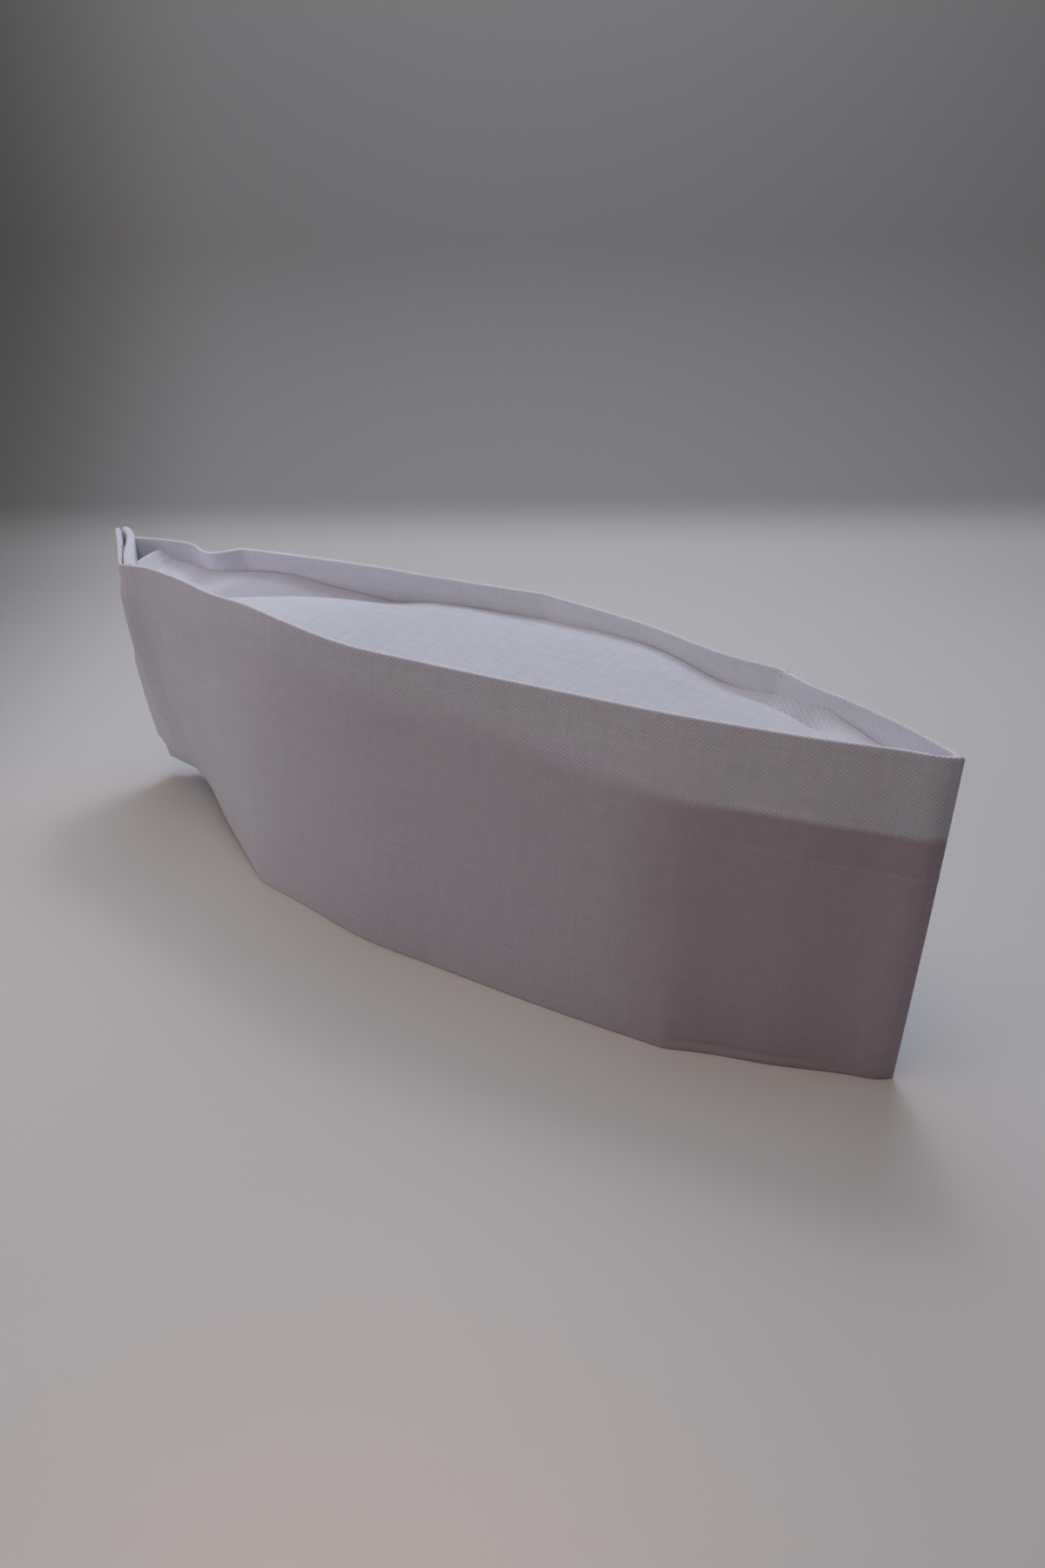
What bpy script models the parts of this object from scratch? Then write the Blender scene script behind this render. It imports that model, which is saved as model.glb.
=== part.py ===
"""A gandhi cap of stiff white cotton, standing on its bottom edge, as the folded cap is worn and stored.

The frame: +X runs to the front end, +Y to the wearer's left side, +Z up, and the floor is z = 0.
The cap is a boat: two outer bands meet in a sharp fold at the front and in a turned seam at the back.
Two inner bands stand inside them and carry the sunken crown, a few millimetres below the rim.
Sizes in the tables are millimetres.
"""
import math
from collections import namedtuple

import bmesh
import bpy
from mathutils import Vector

MM = 0.001

# The cloth: a band is two layers with a pressed interlining.
OUTER_CLOTH = 1.4
INNER_CLOTH = 1.2
CROWN_CLOTH = 1.6
TAB_CLOTH_AT_RIM = 2.5
TAB_CLOTH_AT_FOOT = 2.0

# The room between neighbouring pieces.
SEAM_GAP = 0.35
BAND_GAP = 0.8
FRONT_TRIM = 0.35
CROWN_EDGE_GAP = 0.1
CROWN_SEAT_GAP = 0.8
SLOT_AT_SEAM = 1.3

# How finely the sheets are cut into faces.
BAND_STEP = 5.6
BAND_HEIGHT_SHARES = (0.0, 0.22, 0.5, 0.76, 1.0)
TAB_STEPS = 6
CROWN_STEP = 5.2
CROWN_CELLS = (4, 4, 1, 3)
CROWN_LEVEL = 0.9
SHARP_FOLD = math.radians(40)

# One row for each section of a side, from the back end to the front end.
# The outer face is given at the rim, halfway up and at the foot; fold names the levels that are creased.
Section = namedtuple(
    "Section", "name rim_x rim_y rim_z waist_x waist_y foot_x foot_y foot_z fold"
)

RIGHT_SIDE = (
    Section("back seam", -138.8, -2.3, 95.2, -137.8, -2.7, -136.4, 2.1, 8.0, ""),
    Section("back corner fold", -112.0, -22.6, 94.6, -114.9, -17.2, -125.2, 3.8, 6.0, "rim waist foot"),
    Section("hollow behind the corner", -103.9, -20.6, 94.6, -106.5, -16.5, -114.2, -0.6, 4.8, ""),
    Section("straight run at the back", -88.4, -21.2, 94.6, -90.4, -20.1, -93.7, -11.9, 3.2, ""),
    Section("start of the swell", -70.4, -24.2, 94.6, -72.9, -25.1, -76.1, -21.0, 1.6, ""),
    Section("kink on the floor", -56.4, -24.5, 94.6, -58.4, -28.7, -60.5, -28.8, 0.0, "foot"),
    Section("swell", -39.9, -27.0, 94.6, -41.9, -30.5, -43.9, -30.1, 0.0, ""),
    Section("widest", -12.3, -29.5, 94.6, -12.4, -32.9, -12.7, -32.9, 0.0, ""),
    Section("past the widest", 9.0, -27.1, 94.6, 10.6, -30.6, 12.4, -31.1, 0.0, ""),
    Section("front quarter", 43.0, -22.3, 94.6, 43.1, -27.0, 43.3, -28.7, 0.0, ""),
    Section("front kink on the floor", 82.4, -15.8, 94.6, 82.6, -21.0, 83.0, -24.1, 0.0, "foot"),
    Section("taper", 93.9, -13.2, 94.6, 93.9, -16.8, 93.8, -19.2, 0.0, ""),
    Section("narrow front", 109.1, -9.5, 94.6, 108.9, -12.2, 108.5, -13.9, 0.0, ""),
    Section("front end", 126.6, -4.3, 94.6, 126.1, -5.5, 125.4, -6.5, 0.0, ""),
    Section("front roll", 136.0, -1.8, 94.6, 135.5, -2.3, 134.4, -3.0, 0.0, ""),
    Section("front fold", 139.2, 0.1, 94.6, 138.6, -0.1, 137.6, -0.3, 0.0, ""),
)

LEFT_SIDE = (
    Section("back end at the tab", -127.4, -3.0, 94.8, -128.7, -0.8, -130.7, 9.7, 7.2, ""),
    Section("back run", -120.4, -0.3, 94.8, -121.0, 3.9, -121.9, 10.7, 5.8, ""),
    Section("before the dent", -107.4, 2.9, 94.6, -107.7, 8.9, -108.1, 12.5, 4.4, ""),
    Section("bottom of the dent", -97.4, 1.0, 94.2, -96.9, 11.1, -96.6, 14.9, 3.4, "rim"),
    Section("edge of the dent", -91.0, 8.7, 94.6, -90.4, 14.7, -89.9, 16.8, 2.8, "rim"),
    Section("back quarter", -72.4, 13.6, 94.6, -72.0, 19.7, -71.4, 21.7, 1.3, ""),
    Section("swell", -48.4, 19.1, 94.6, -48.1, 25.2, -47.9, 26.9, 0.0, ""),
    Section("before the widest", -24.4, 22.9, 94.6, -24.4, 28.9, -24.4, 30.5, 0.0, ""),
    Section("widest, with a soft kink", 10.1, 29.6, 94.6, 9.6, 32.9, 9.1, 32.7, 0.0, "rim"),
    Section("front quarter", 44.2, 26.6, 94.6, 43.9, 29.7, 43.6, 29.7, 0.0, ""),
    Section("before the small kink", 76.6, 20.5, 94.6, 76.4, 23.5, 76.1, 24.1, 0.0, ""),
    Section("small kink", 86.9, 20.7, 94.6, 86.6, 21.7, 86.1, 21.5, 0.0, "rim"),
    Section("taper", 94.2, 17.2, 94.6, 93.9, 18.9, 93.6, 19.1, 0.0, ""),
    Section("narrow front", 113.2, 11.7, 94.6, 112.9, 12.7, 112.6, 12.5, 0.0, ""),
    Section("front end", 132.2, 3.9, 94.6, 131.6, 4.1, 130.9, 3.9, 0.0, ""),
    Section("front fold", 139.2, 0.1, 94.6, 138.6, -0.1, 137.6, -0.3, 0.0, ""),
)

# One row for each cross-section of the crown's top face, from the back end to the front end.
# From the right edge to the left one it has a crest, a ridge, a valley and the seam at the left band.
# The tab room is what the crown leaves free on its right where the tab stands.
CrownSection = namedtuple(
    "CrownSection",
    "x tab_room right_z crest_y crest_z ridge_y ridge_z valley_y valley_z left_z",
)

CROWN = (
    CrownSection(-124.8, 4.0, 77.0, -5.4, 77.2, -4.8, 77.4, -4.2, 77.6, 77.8),
    CrownSection(-122.0, 4.0, 83.6, -6.6, 84.0, -5.7, 84.4, -4.9, 84.6, 84.8),
    CrownSection(-119.8, 3.8, 87.4, -7.5, 88.2, -5.9, 88.8, -4.3, 89.2, 89.4),
    CrownSection(-114.9, 3.8, 86.8, -10.1, 87.0, -6.7, 87.0, -3.5, 87.2, 88.1),
    CrownSection(-106.4, 2.4, 86.0, -13.3, 85.6, -8.7, 85.3, -3.7, 85.6, 87.3),
    CrownSection(-96.8, 0.0, 86.2, -14.2, 85.6, -9.2, 84.8, -4.7, 84.9, 87.8),
    CrownSection(-90.4, 0.0, 86.2, -15.1, 86.1, -11.7, 85.6, -6.7, 84.1, 86.8),
    CrownSection(-85.4, 0.0, 86.3, -16.2, 86.6, -13.7, 86.4, -8.7, 83.6, 87.2),
    CrownSection(-74.4, 0.0, 86.4, -15.7, 87.2, -7.1, 86.8, -3.5, 83.2, 87.6),
    CrownSection(-61.4, 0.0, 86.5, -13.7, 87.6, 2.3, 86.8, 5.7, 83.2, 85.6),
    CrownSection(-49.4, 0.0, 86.5, -9.7, 87.9, 10.3, 85.8, 13.1, 83.4, 84.4),
    CrownSection(-41.4, 0.0, 86.5, -6.7, 88.1, 14.3, 85.0, 16.7, 84.0, 83.6),
    CrownSection(-26.4, 0.0, 86.5, -3.7, 88.4, 13.3, 87.4, 17.8, 86.8, 85.8),
    CrownSection(9.6, 0.0, 86.5, -0.7, 88.6, 15.3, 87.8, 23.3, 87.2, 86.5),
    CrownSection(33.6, 0.0, 86.5, -0.7, 88.6, 13.3, 88.6, 20.3, 88.5, 88.2),
    CrownSection(56.6, 0.0, 86.5, -0.7, 88.3, 11.3, 88.4, 17.3, 88.4, 88.1),
    CrownSection(70.6, 0.0, 86.5, 0.3, 87.9, 10.8, 87.4, 16.7, 86.9, 86.4),
    CrownSection(79.6, 0.0, 86.5, 1.3, 87.4, 14.3, 86.8, 16.5, 85.9, 86.6),
    CrownSection(88.6, 0.0, 86.5, 1.3, 87.1, 12.9, 86.9, 14.9, 84.9, 87.6),
    CrownSection(96.6, 0.0, 86.5, 1.3, 86.9, 10.1, 86.8, 12.1, 85.2, 89.4),
    CrownSection(101.2, 0.0, 86.5, 1.3, 86.7, 7.9, 86.6, 9.7, 86.0, 90.2),
    CrownSection(106.6, 0.0, 86.4, 0.3, 86.2, 4.3, 86.5, 7.7, 87.3, 89.2),
    CrownSection(116.6, 0.0, 86.4, -0.2, 86.0, 1.9, 86.2, 4.1, 86.6, 87.4),
    CrownSection(127.6, 0.0, 86.6, 0.3, 86.4, 0.8, 86.4, 1.3, 86.4, 86.8),
    CrownSection(132.6, 0.0, 86.8, 0.2, 86.7, 0.4, 86.7, 0.6, 86.7, 86.9),
)

# Where the inner bands and the tab begin and end, as places along a side's rows.
RIGHT_INNER_START = 1.85
LEFT_INNER_START = 1.35
INNER_END_BEFORE_FRONT = 1.75
TAB_START = 0.02
TAB_END = 1.0
PAST_THE_CORNER = 1.5

# The tab stands a little off the floor and rises a little above the rim at the seam.
# Its far face runs on past the corner as a lip, and the lip fades out towards the foot.
TAB_FOOT_LIFT = 0.6
TAB_RIM_RISE = 0.3
TAB_LIP = 4.0
LIP_FADES_BETWEEN = (0.1, 0.5)

# The slot opens from the foot up to this share of the height, and closes along these places.
SLOT_OPENS_BETWEEN = (0.0, 0.6)
SLOT_CLOSES_BETWEEN = (0.1, 0.8)

COTTON_WHITE = (0.80, 0.79, 0.83, 1.0)
COTTON_ROUGHNESS = 0.85


def remove_everything():
    """Empty the scene, so that the cap stands alone in it."""
    for thing in list(bpy.data.objects):
        bpy.data.objects.remove(thing, do_unlink=True)


def cotton(name):
    """A matt white cotton material of its own for one piece."""
    material = bpy.data.materials.new(name)
    material.use_nodes = True
    shader = material.node_tree.nodes["Principled BSDF"]
    shader.inputs["Base Color"].default_value = COTTON_WHITE
    shader.inputs["Roughness"].default_value = COTTON_ROUGHNESS
    shader.inputs["Metallic"].default_value = 0.0
    return material


def slopes(places, values, creased):
    """The slope of a smooth curve into and out of each of its points; a creased point keeps both."""
    steps = [(values[i + 1] - values[i]) / (places[i + 1] - places[i]) for i in range(len(values) - 1)]
    into = [steps[0]] + steps
    out = steps + [steps[-1]]
    for i in range(1, len(values) - 1):
        if not creased[i]:
            before = places[i] - places[i - 1]
            after = places[i + 1] - places[i]
            into[i] = out[i] = (steps[i - 1] * after + steps[i] * before) / (before + after)
    return into, out


def curve_value(places, values, into, out, place):
    """The value at a place on the smooth curve through the points."""
    i = 0
    while i < len(places) - 2 and place > places[i + 1]:
        i += 1
    length = places[i + 1] - places[i]
    t = (place - places[i]) / length
    start_bend = out[i] * length
    end_bend = into[i + 1] * length
    low = values[i]
    rise = values[i + 1] - low
    return low + start_bend * t + (3 * rise - 2 * start_bend - end_bend) * t ** 2 + (
        start_bend + end_bend - 2 * rise
    ) * t ** 3


def smooth_curve(places, values, creased):
    """A function that reads the smooth curve through the points."""
    into, out = slopes(places, values, creased)
    return lambda place: curve_value(places, values, into, out, place)


def level_path(side, level):
    """A function from a place along the rows to a point of the outer face at one level."""
    across = [getattr(row, level + "_x") for row in side]
    inward = [getattr(row, level + "_y") for row in side]
    creased = [level in row.fold for row in side]
    lengths = [0.0]
    for i in range(1, len(side)):
        lengths.append(lengths[-1] + math.dist((across[i - 1], inward[i - 1]), (across[i], inward[i])))
    x_curve = smooth_curve(lengths, across, creased)
    y_curve = smooth_curve(lengths, inward, creased)

    def read(place):
        row = min(int(place), len(side) - 2)
        length = lengths[row] + (lengths[row + 1] - lengths[row]) * (place - row)
        return Vector((x_curve(length), y_curve(length)))

    return read


def row_value(side, column, place):
    """A column of the table, read in straight lines between its rows."""
    row = min(int(place), len(side) - 2)
    low = getattr(side[row], column)
    return low + (getattr(side[row + 1], column) - low) * (place - row)


class Side:
    """The outer face of one side of the cap, as a function of a place along it and a share of its height."""

    def __init__(self, table, inward):
        self.table = table
        self.inward = inward
        self.levels = [level_path(table, level) for level in ("foot", "waist", "rim")]

    def plan_point(self, place, share):
        """The outer face seen from above: a curve through the foot, the waist and the rim."""
        foot, waist, rim = [read(place) for read in self.levels]
        foot_part = (1 - 2 * share) * (1 - share)
        waist_part = 4 * share * (1 - share)
        rim_part = share * (2 * share - 1)
        return foot * foot_part + waist * waist_part + rim * rim_part

    def height(self, place, share):
        foot_z = row_value(self.table, "foot_z", place)
        return foot_z + (row_value(self.table, "rim_z", place) - foot_z) * share

    def share_at(self, place, z):
        foot_z = row_value(self.table, "foot_z", place)
        return (z - foot_z) / (row_value(self.table, "rim_z", place) - foot_z)

    def places(self, start, end, step):
        """Places from start to end, with every row between them and no gap longer than the step."""
        rows = [start] + [float(i) for i in range(int(start) + 1, math.ceil(end))] + [end]
        result = [rows[0]]
        for low, high in zip(rows, rows[1:]):
            length = (self.plan_point(high, 1.0) - self.plan_point(low, 1.0)).length
            parts = max(1, round(length / step))
            result += [low + (high - low) * (i + 1) / parts for i in range(parts)]
        return result


RIGHT = Side(RIGHT_SIDE, 1.0)
LEFT = Side(LEFT_SIDE, -1.0)


def inset_path(points, distance, inward, beyond=None):
    """Move a plan path sideways into the cap, with mitred corners; beyond continues it past its end."""
    run = list(points) + ([beyond] if beyond is not None else [])
    normals = []
    for here, there in zip(run, run[1:]):
        along = (there - here).normalized()
        normals.append(Vector((-along.y, along.x)) * inward)
    result = []
    for i, point in enumerate(points):
        before = normals[max(i - 1, 0)]
        after = normals[min(i, len(normals) - 1)]
        mitre = (before + after) / (1 + before.dot(after))
        result.append(point + mitre * distance)
    return result


def thick_sheet(name, face, back):
    """A closed sheet of cloth: a grid of points for its face, extruded to the matching grid of its back.

    Each grid is a list of columns, and each column runs from the foot to the rim.
    """
    columns = len(face)
    levels = len(face[0])
    bm = bmesh.new()
    bmesh.ops.create_grid(bm, x_segments=columns - 1, y_segments=levels - 1, size=1.0)
    column_of = bm.verts.layers.int.new("column")
    level_of = bm.verts.layers.int.new("level")
    for vert in bm.verts:
        vert[column_of] = round((vert.co.x + 1) / 2 * (columns - 1))
        vert[level_of] = round((vert.co.y + 1) / 2 * (levels - 1))
    sheet_faces = bm.faces[:]
    extruded = bmesh.ops.extrude_face_region(bm, geom=sheet_faces, use_keep_orig=True)
    back_verts = {item for item in extruded["geom"] if isinstance(item, bmesh.types.BMVert)}
    for vert in bm.verts:
        grid = back if vert in back_verts else face
        vert.co = Vector(grid[vert[column_of]][vert[level_of]]) * MM
    bmesh.ops.triangulate(bm, faces=bm.faces[:])
    bmesh.ops.recalc_face_normals(bm, faces=bm.faces[:])
    if bm.calc_volume(signed=True) < 0:
        bmesh.ops.reverse_faces(bm, faces=bm.faces[:])
    mesh = bpy.data.meshes.new(name)
    bm.to_mesh(mesh)
    bm.free()
    mesh.shade_smooth()
    mesh.set_sharp_from_angle(angle=SHARP_FOLD)
    mesh.materials.append(cotton(name + "_cotton"))
    piece = bpy.data.objects.new(name, mesh)
    bpy.context.collection.objects.link(piece)
    return piece


def standing_wall(name, face_rows, back_rows, heights):
    """A standing sheet from plan paths, one for each level, and the heights of each column's points."""
    face = []
    back = []
    for column in range(len(face_rows[0])):
        z_list = heights[column]
        face.append([(*row[column], z) for row, z in zip(face_rows, z_list)])
        back.append([(*row[column], z) for row, z in zip(back_rows, z_list)])
    return thick_sheet(name, face, back)


def pull_back(path, amount):
    """Shorten a path at its last point, to leave a fine gap at a seam."""
    along = (path[-2] - path[-1]).normalized()
    return path[:-1] + [path[-1] + along * amount]


def outer_band(name, side, other):
    """A band of the outside, whose front end is mitred against the other band."""
    last = len(side.table) - 1
    places = side.places(0.0, float(last), BAND_STEP)
    other_last = len(other.table) - 1
    other_step = other.places(0.0, float(other_last), BAND_STEP)[-2]
    face_rows = []
    back_rows = []
    for share in BAND_HEIGHT_SHARES:
        path = [side.plan_point(place, share) for place in places]
        beyond = other.plan_point(other_step, share)
        inner = inset_path(path, OUTER_CLOTH, side.inward, beyond)
        face_rows.append(pull_back(path, FRONT_TRIM))
        back_rows.append(pull_back(inner, FRONT_TRIM))
    heights = [[side.height(place, share) for share in BAND_HEIGHT_SHARES] for place in places]
    return standing_wall(name, face_rows, back_rows, heights)


def wall_y(side, x, z, distance):
    """Where the inset wall of a side stands across the cap, at a length x and a height z."""
    places = side.places(0.0, float(len(side.table) - 1), BAND_STEP)
    path = [side.plan_point(place, side.share_at(place, z)) for place in places]
    path = inset_path(path, distance, side.inward)
    for here, there in zip(path, path[1:]):
        if here.x <= x <= there.x:
            return here.y + (there.y - here.y) * (x - here.x) / (there.x - here.x)
    raise ValueError("no wall at x = %.1f" % x)


def crown_columns():
    """Each column of the crown's table as a smooth function of the length x."""
    places = [row.x for row in CROWN]
    plain = [False] * len(CROWN)
    columns = {}
    for column in CrownSection._fields[1:]:
        columns[column] = smooth_curve(places, [getattr(row, column) for row in CROWN], plain)
    return columns


def crown_profile(columns, x):
    """The corner points of the crown's top face across the cap at a length x, from right to left."""
    read = {name: curve(x) for name, curve in columns.items()}
    edge = OUTER_CLOTH + BAND_GAP + CROWN_EDGE_GAP
    right_y = wall_y(RIGHT, x, read["right_z"], edge + read["tab_room"])
    left_y = wall_y(LEFT, x, read["left_z"], edge)
    return (
        (right_y, read["right_z"]),
        (read["crest_y"], read["crest_z"]),
        (read["ridge_y"], read["ridge_z"]),
        (read["valley_y"], read["valley_z"]),
        (left_y, read["left_z"]),
    )


def crown_line(profile):
    """Points across the crown: a soft swell up to the ridge, then flat folds to the left seam."""
    places = [y for y, z in profile]
    swell = smooth_curve(places, [z for y, z in profile], [False, False, True, True, False])
    line = [places[0]]
    for low, high, cells in zip(places, places[1:], CROWN_CELLS):
        line += [low + (high - low) * (i + 1) / cells for i in range(cells)]
    return [(y, swell(y)) for y in line]


def crown():
    """The sunken top of the cap, a thin sheet between the two bands."""
    columns = crown_columns()
    first = CROWN[0].x
    last = CROWN[-1].x
    marks = [row.x for row in CROWN]
    lengths = [first]
    for low, high in zip(marks, marks[1:]):
        parts = max(1, round((high - low) / CROWN_STEP))
        lengths += [low + (high - low) * (i + 1) / parts for i in range(parts)]
    lengths[-1] = last
    top = []
    underside = []
    for x in lengths:
        line = crown_line(crown_profile(columns, x))
        top.append([(x, y, z) for y, z in line])
        underside.append([(x, y, z - CROWN_CLOTH) for y, z in line])
    return thick_sheet("crown", top, underside)


def crown_seat(columns, x, side):
    """How high an inner band may stand below the crown's edge, at a length x."""
    seat = []
    for near_x in (x - CROWN_STEP / 2, x, x + CROWN_STEP / 2):
        line = crown_line(crown_profile(columns, near_x))
        edge = line if side is RIGHT else line[::-1]
        reach = abs(edge[0][0] - edge[1][0])
        slope = (edge[1][1] - edge[0][1]) / reach
        seat.append(edge[0][1] + min(slope, 0.0) * min(INNER_CLOTH + 2 * SEAM_GAP, reach))
    return min(seat) - CROWN_CLOTH - CROWN_SEAT_GAP


def inner_band(name, side, start):
    """A band of the inside, from the foot up to the crown that it carries."""
    columns = crown_columns()
    last = len(side.table) - 1
    places = side.places(start, last - INNER_END_BEFORE_FRONT, BAND_STEP)
    near_distance = OUTER_CLOTH + BAND_GAP
    far_distance = near_distance + INNER_CLOTH
    tops = [crown_seat(columns, side.plan_point(place, CROWN_LEVEL).x, side) for place in places]
    levels = []
    for place, top in zip(places, tops):
        levels.append(BAND_HEIGHT_SHARES[:-1] + (side.share_at(place, top),))
    face_rows = []
    back_rows = []
    for level in range(len(BAND_HEIGHT_SHARES)):
        path = [side.plan_point(place, shares[level]) for place, shares in zip(places, levels)]
        face_rows.append(inset_path(path, near_distance, side.inward))
        back_rows.append(inset_path(path, far_distance, side.inward))
    heights = [[side.height(place, share) for share in shares] for place, shares in zip(places, levels)]
    return standing_wall(name, face_rows, back_rows, heights)


def eased(limits, value):
    """A smooth step from 0 at the low limit to 1 at the high one."""
    low, high = limits
    t = min(max((value - low) / (high - low), 0.0), 1.0)
    return t * t * (3 - 2 * t)


def tab_level(places, share):
    """The near and the far face of the tab, seen from above at one level."""
    path = [RIGHT.plan_point(place, share) for place in places]
    beyond = RIGHT.plan_point(PAST_THE_CORNER, share)
    cloth = TAB_CLOTH_AT_FOOT + (TAB_CLOTH_AT_RIM - TAB_CLOTH_AT_FOOT) * share
    slot_at_seam = SEAM_GAP + (SLOT_AT_SEAM - SEAM_GAP) * eased(SLOT_OPENS_BETWEEN, share)
    far_face = inset_path(path, OUTER_CLOTH + slot_at_seam + cloth, RIGHT.inward, beyond)
    near_face = []
    for i, place in enumerate(places):
        slot = slot_at_seam + (SEAM_GAP - slot_at_seam) * eased(SLOT_CLOSES_BETWEEN, place)
        near_face.append(inset_path(path, OUTER_CLOTH + slot, RIGHT.inward, beyond)[i])
    along = (path[-1] - path[-2]).normalized()
    far_face[-1] = far_face[-1] + along * TAB_LIP * eased(LIP_FADES_BETWEEN, share)
    return near_face, far_face


def back_seam_tab():
    """The turned seam allowance of the back, pressed along the inside of the right band's end wall.

    A slot stays open between it and the band, widest at the seam.
    """
    places = [TAB_START + (TAB_END - TAB_START) * i / TAB_STEPS for i in range(TAB_STEPS + 1)]
    levels = [tab_level(places, share) for share in BAND_HEIGHT_SHARES]
    heights = []
    for place in places:
        low = RIGHT.height(place, 0.0) + TAB_FOOT_LIFT
        high = RIGHT.height(place, 1.0) + TAB_RIM_RISE * (1 - place)
        heights.append([low + (high - low) * share for share in BAND_HEIGHT_SHARES])
    near_rows = [near for near, far in levels]
    far_rows = [far for near, far in levels]
    return standing_wall("back_seam_tab", near_rows, far_rows, heights)


def build_cap():
    remove_everything()
    outer_band("right_outer_band", RIGHT, LEFT)
    outer_band("left_outer_band", LEFT, RIGHT)
    inner_band("right_inner_band", RIGHT, RIGHT_INNER_START)
    inner_band("left_inner_band", LEFT, LEFT_INNER_START)
    crown()
    back_seam_tab()


build_cap()
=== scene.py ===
# %% [markdown]
# # A side cap of stiff white cotton
#
# The cap stands open on its bottom edge, like a small boat. Two outer walls meet in a sharp fold at the
# front and in a turned seam at the back. Between them lies the sunken crown, carried by two inner walls.
#
# The imported solids are plain walls. This script keeps their place and dresses each of them as cloth:
# pressed folds, rolled rims, a hem with painted shade below it, painted highlights, and a coarse plain weave.
#
# Frame: +X is the front end, +Y the wearer's left, +Z up, and the floor is z = 0.

# %% Load the frame
import math
from collections import namedtuple

import bpy
import numpy as np
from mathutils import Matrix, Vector, noise


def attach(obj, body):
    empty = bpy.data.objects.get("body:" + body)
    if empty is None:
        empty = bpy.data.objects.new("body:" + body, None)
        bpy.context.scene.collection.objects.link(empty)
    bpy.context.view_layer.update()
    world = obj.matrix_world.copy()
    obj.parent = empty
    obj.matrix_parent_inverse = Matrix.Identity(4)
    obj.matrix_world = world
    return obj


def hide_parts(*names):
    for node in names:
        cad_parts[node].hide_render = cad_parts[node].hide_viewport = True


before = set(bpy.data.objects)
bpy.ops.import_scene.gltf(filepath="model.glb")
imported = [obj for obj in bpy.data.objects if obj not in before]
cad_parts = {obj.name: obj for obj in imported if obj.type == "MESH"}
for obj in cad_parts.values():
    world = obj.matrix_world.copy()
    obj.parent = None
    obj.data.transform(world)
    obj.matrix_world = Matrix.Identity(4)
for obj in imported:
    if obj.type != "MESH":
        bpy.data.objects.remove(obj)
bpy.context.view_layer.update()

# %% [markdown]
# ## The cut of the cap
#
# Cloth is easiest to think of in sections. Each row below is one upright section of a wall, from the
# back end to the front fold, with the outer face at the rim, halfway up and at the foot. These are the
# sizes that the solids were made from, in millimetres, so the dressed walls land in the same place.

# %% The sections of the two walls
MM = 0.001

Section = namedtuple(
    "Section", "name rim_x rim_y rim_z waist_x waist_y foot_x foot_y foot_z fold"
)

NEAR_SIDE = (
    Section("back seam", -138.8, -2.3, 95.2, -137.8, -2.7, -136.4, 2.1, 8.0, ""),
    Section("back corner fold", -112.0, -22.6, 94.6, -114.9, -17.2, -125.2, 3.8, 6.0, "rim waist foot"),
    Section("hollow behind the corner", -103.9, -20.6, 94.6, -106.5, -16.5, -114.2, -0.6, 4.8, ""),
    Section("straight run at the back", -88.4, -21.2, 94.6, -90.4, -20.1, -93.7, -11.9, 3.2, ""),
    Section("start of the swell", -70.4, -24.2, 94.6, -72.9, -25.1, -76.1, -21.0, 1.6, ""),
    Section("kink on the floor", -56.4, -24.5, 94.6, -58.4, -28.7, -60.5, -28.8, 0.0, "foot"),
    Section("swell", -39.9, -27.0, 94.6, -41.9, -30.5, -43.9, -30.1, 0.0, ""),
    Section("widest", -12.3, -29.5, 94.6, -12.4, -32.9, -12.7, -32.9, 0.0, ""),
    Section("past the widest", 9.0, -27.1, 94.6, 10.6, -30.6, 12.4, -31.1, 0.0, ""),
    Section("front quarter", 43.0, -22.3, 94.6, 43.1, -27.0, 43.3, -28.7, 0.0, ""),
    Section("front kink on the floor", 82.4, -15.8, 94.6, 82.6, -21.0, 83.0, -24.1, 0.0, "foot"),
    Section("taper", 93.9, -13.2, 94.6, 93.9, -16.8, 93.8, -19.2, 0.0, ""),
    Section("narrow front", 109.1, -9.5, 94.6, 108.9, -12.2, 108.5, -13.9, 0.0, ""),
    Section("front end", 126.6, -4.3, 94.6, 126.1, -5.5, 125.4, -6.5, 0.0, ""),
    Section("front roll", 136.0, -1.8, 94.6, 135.5, -2.3, 134.4, -3.0, 0.0, ""),
    Section("front fold", 139.2, 0.1, 94.6, 138.6, -0.1, 137.6, -0.3, 0.0, ""),
)

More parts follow.
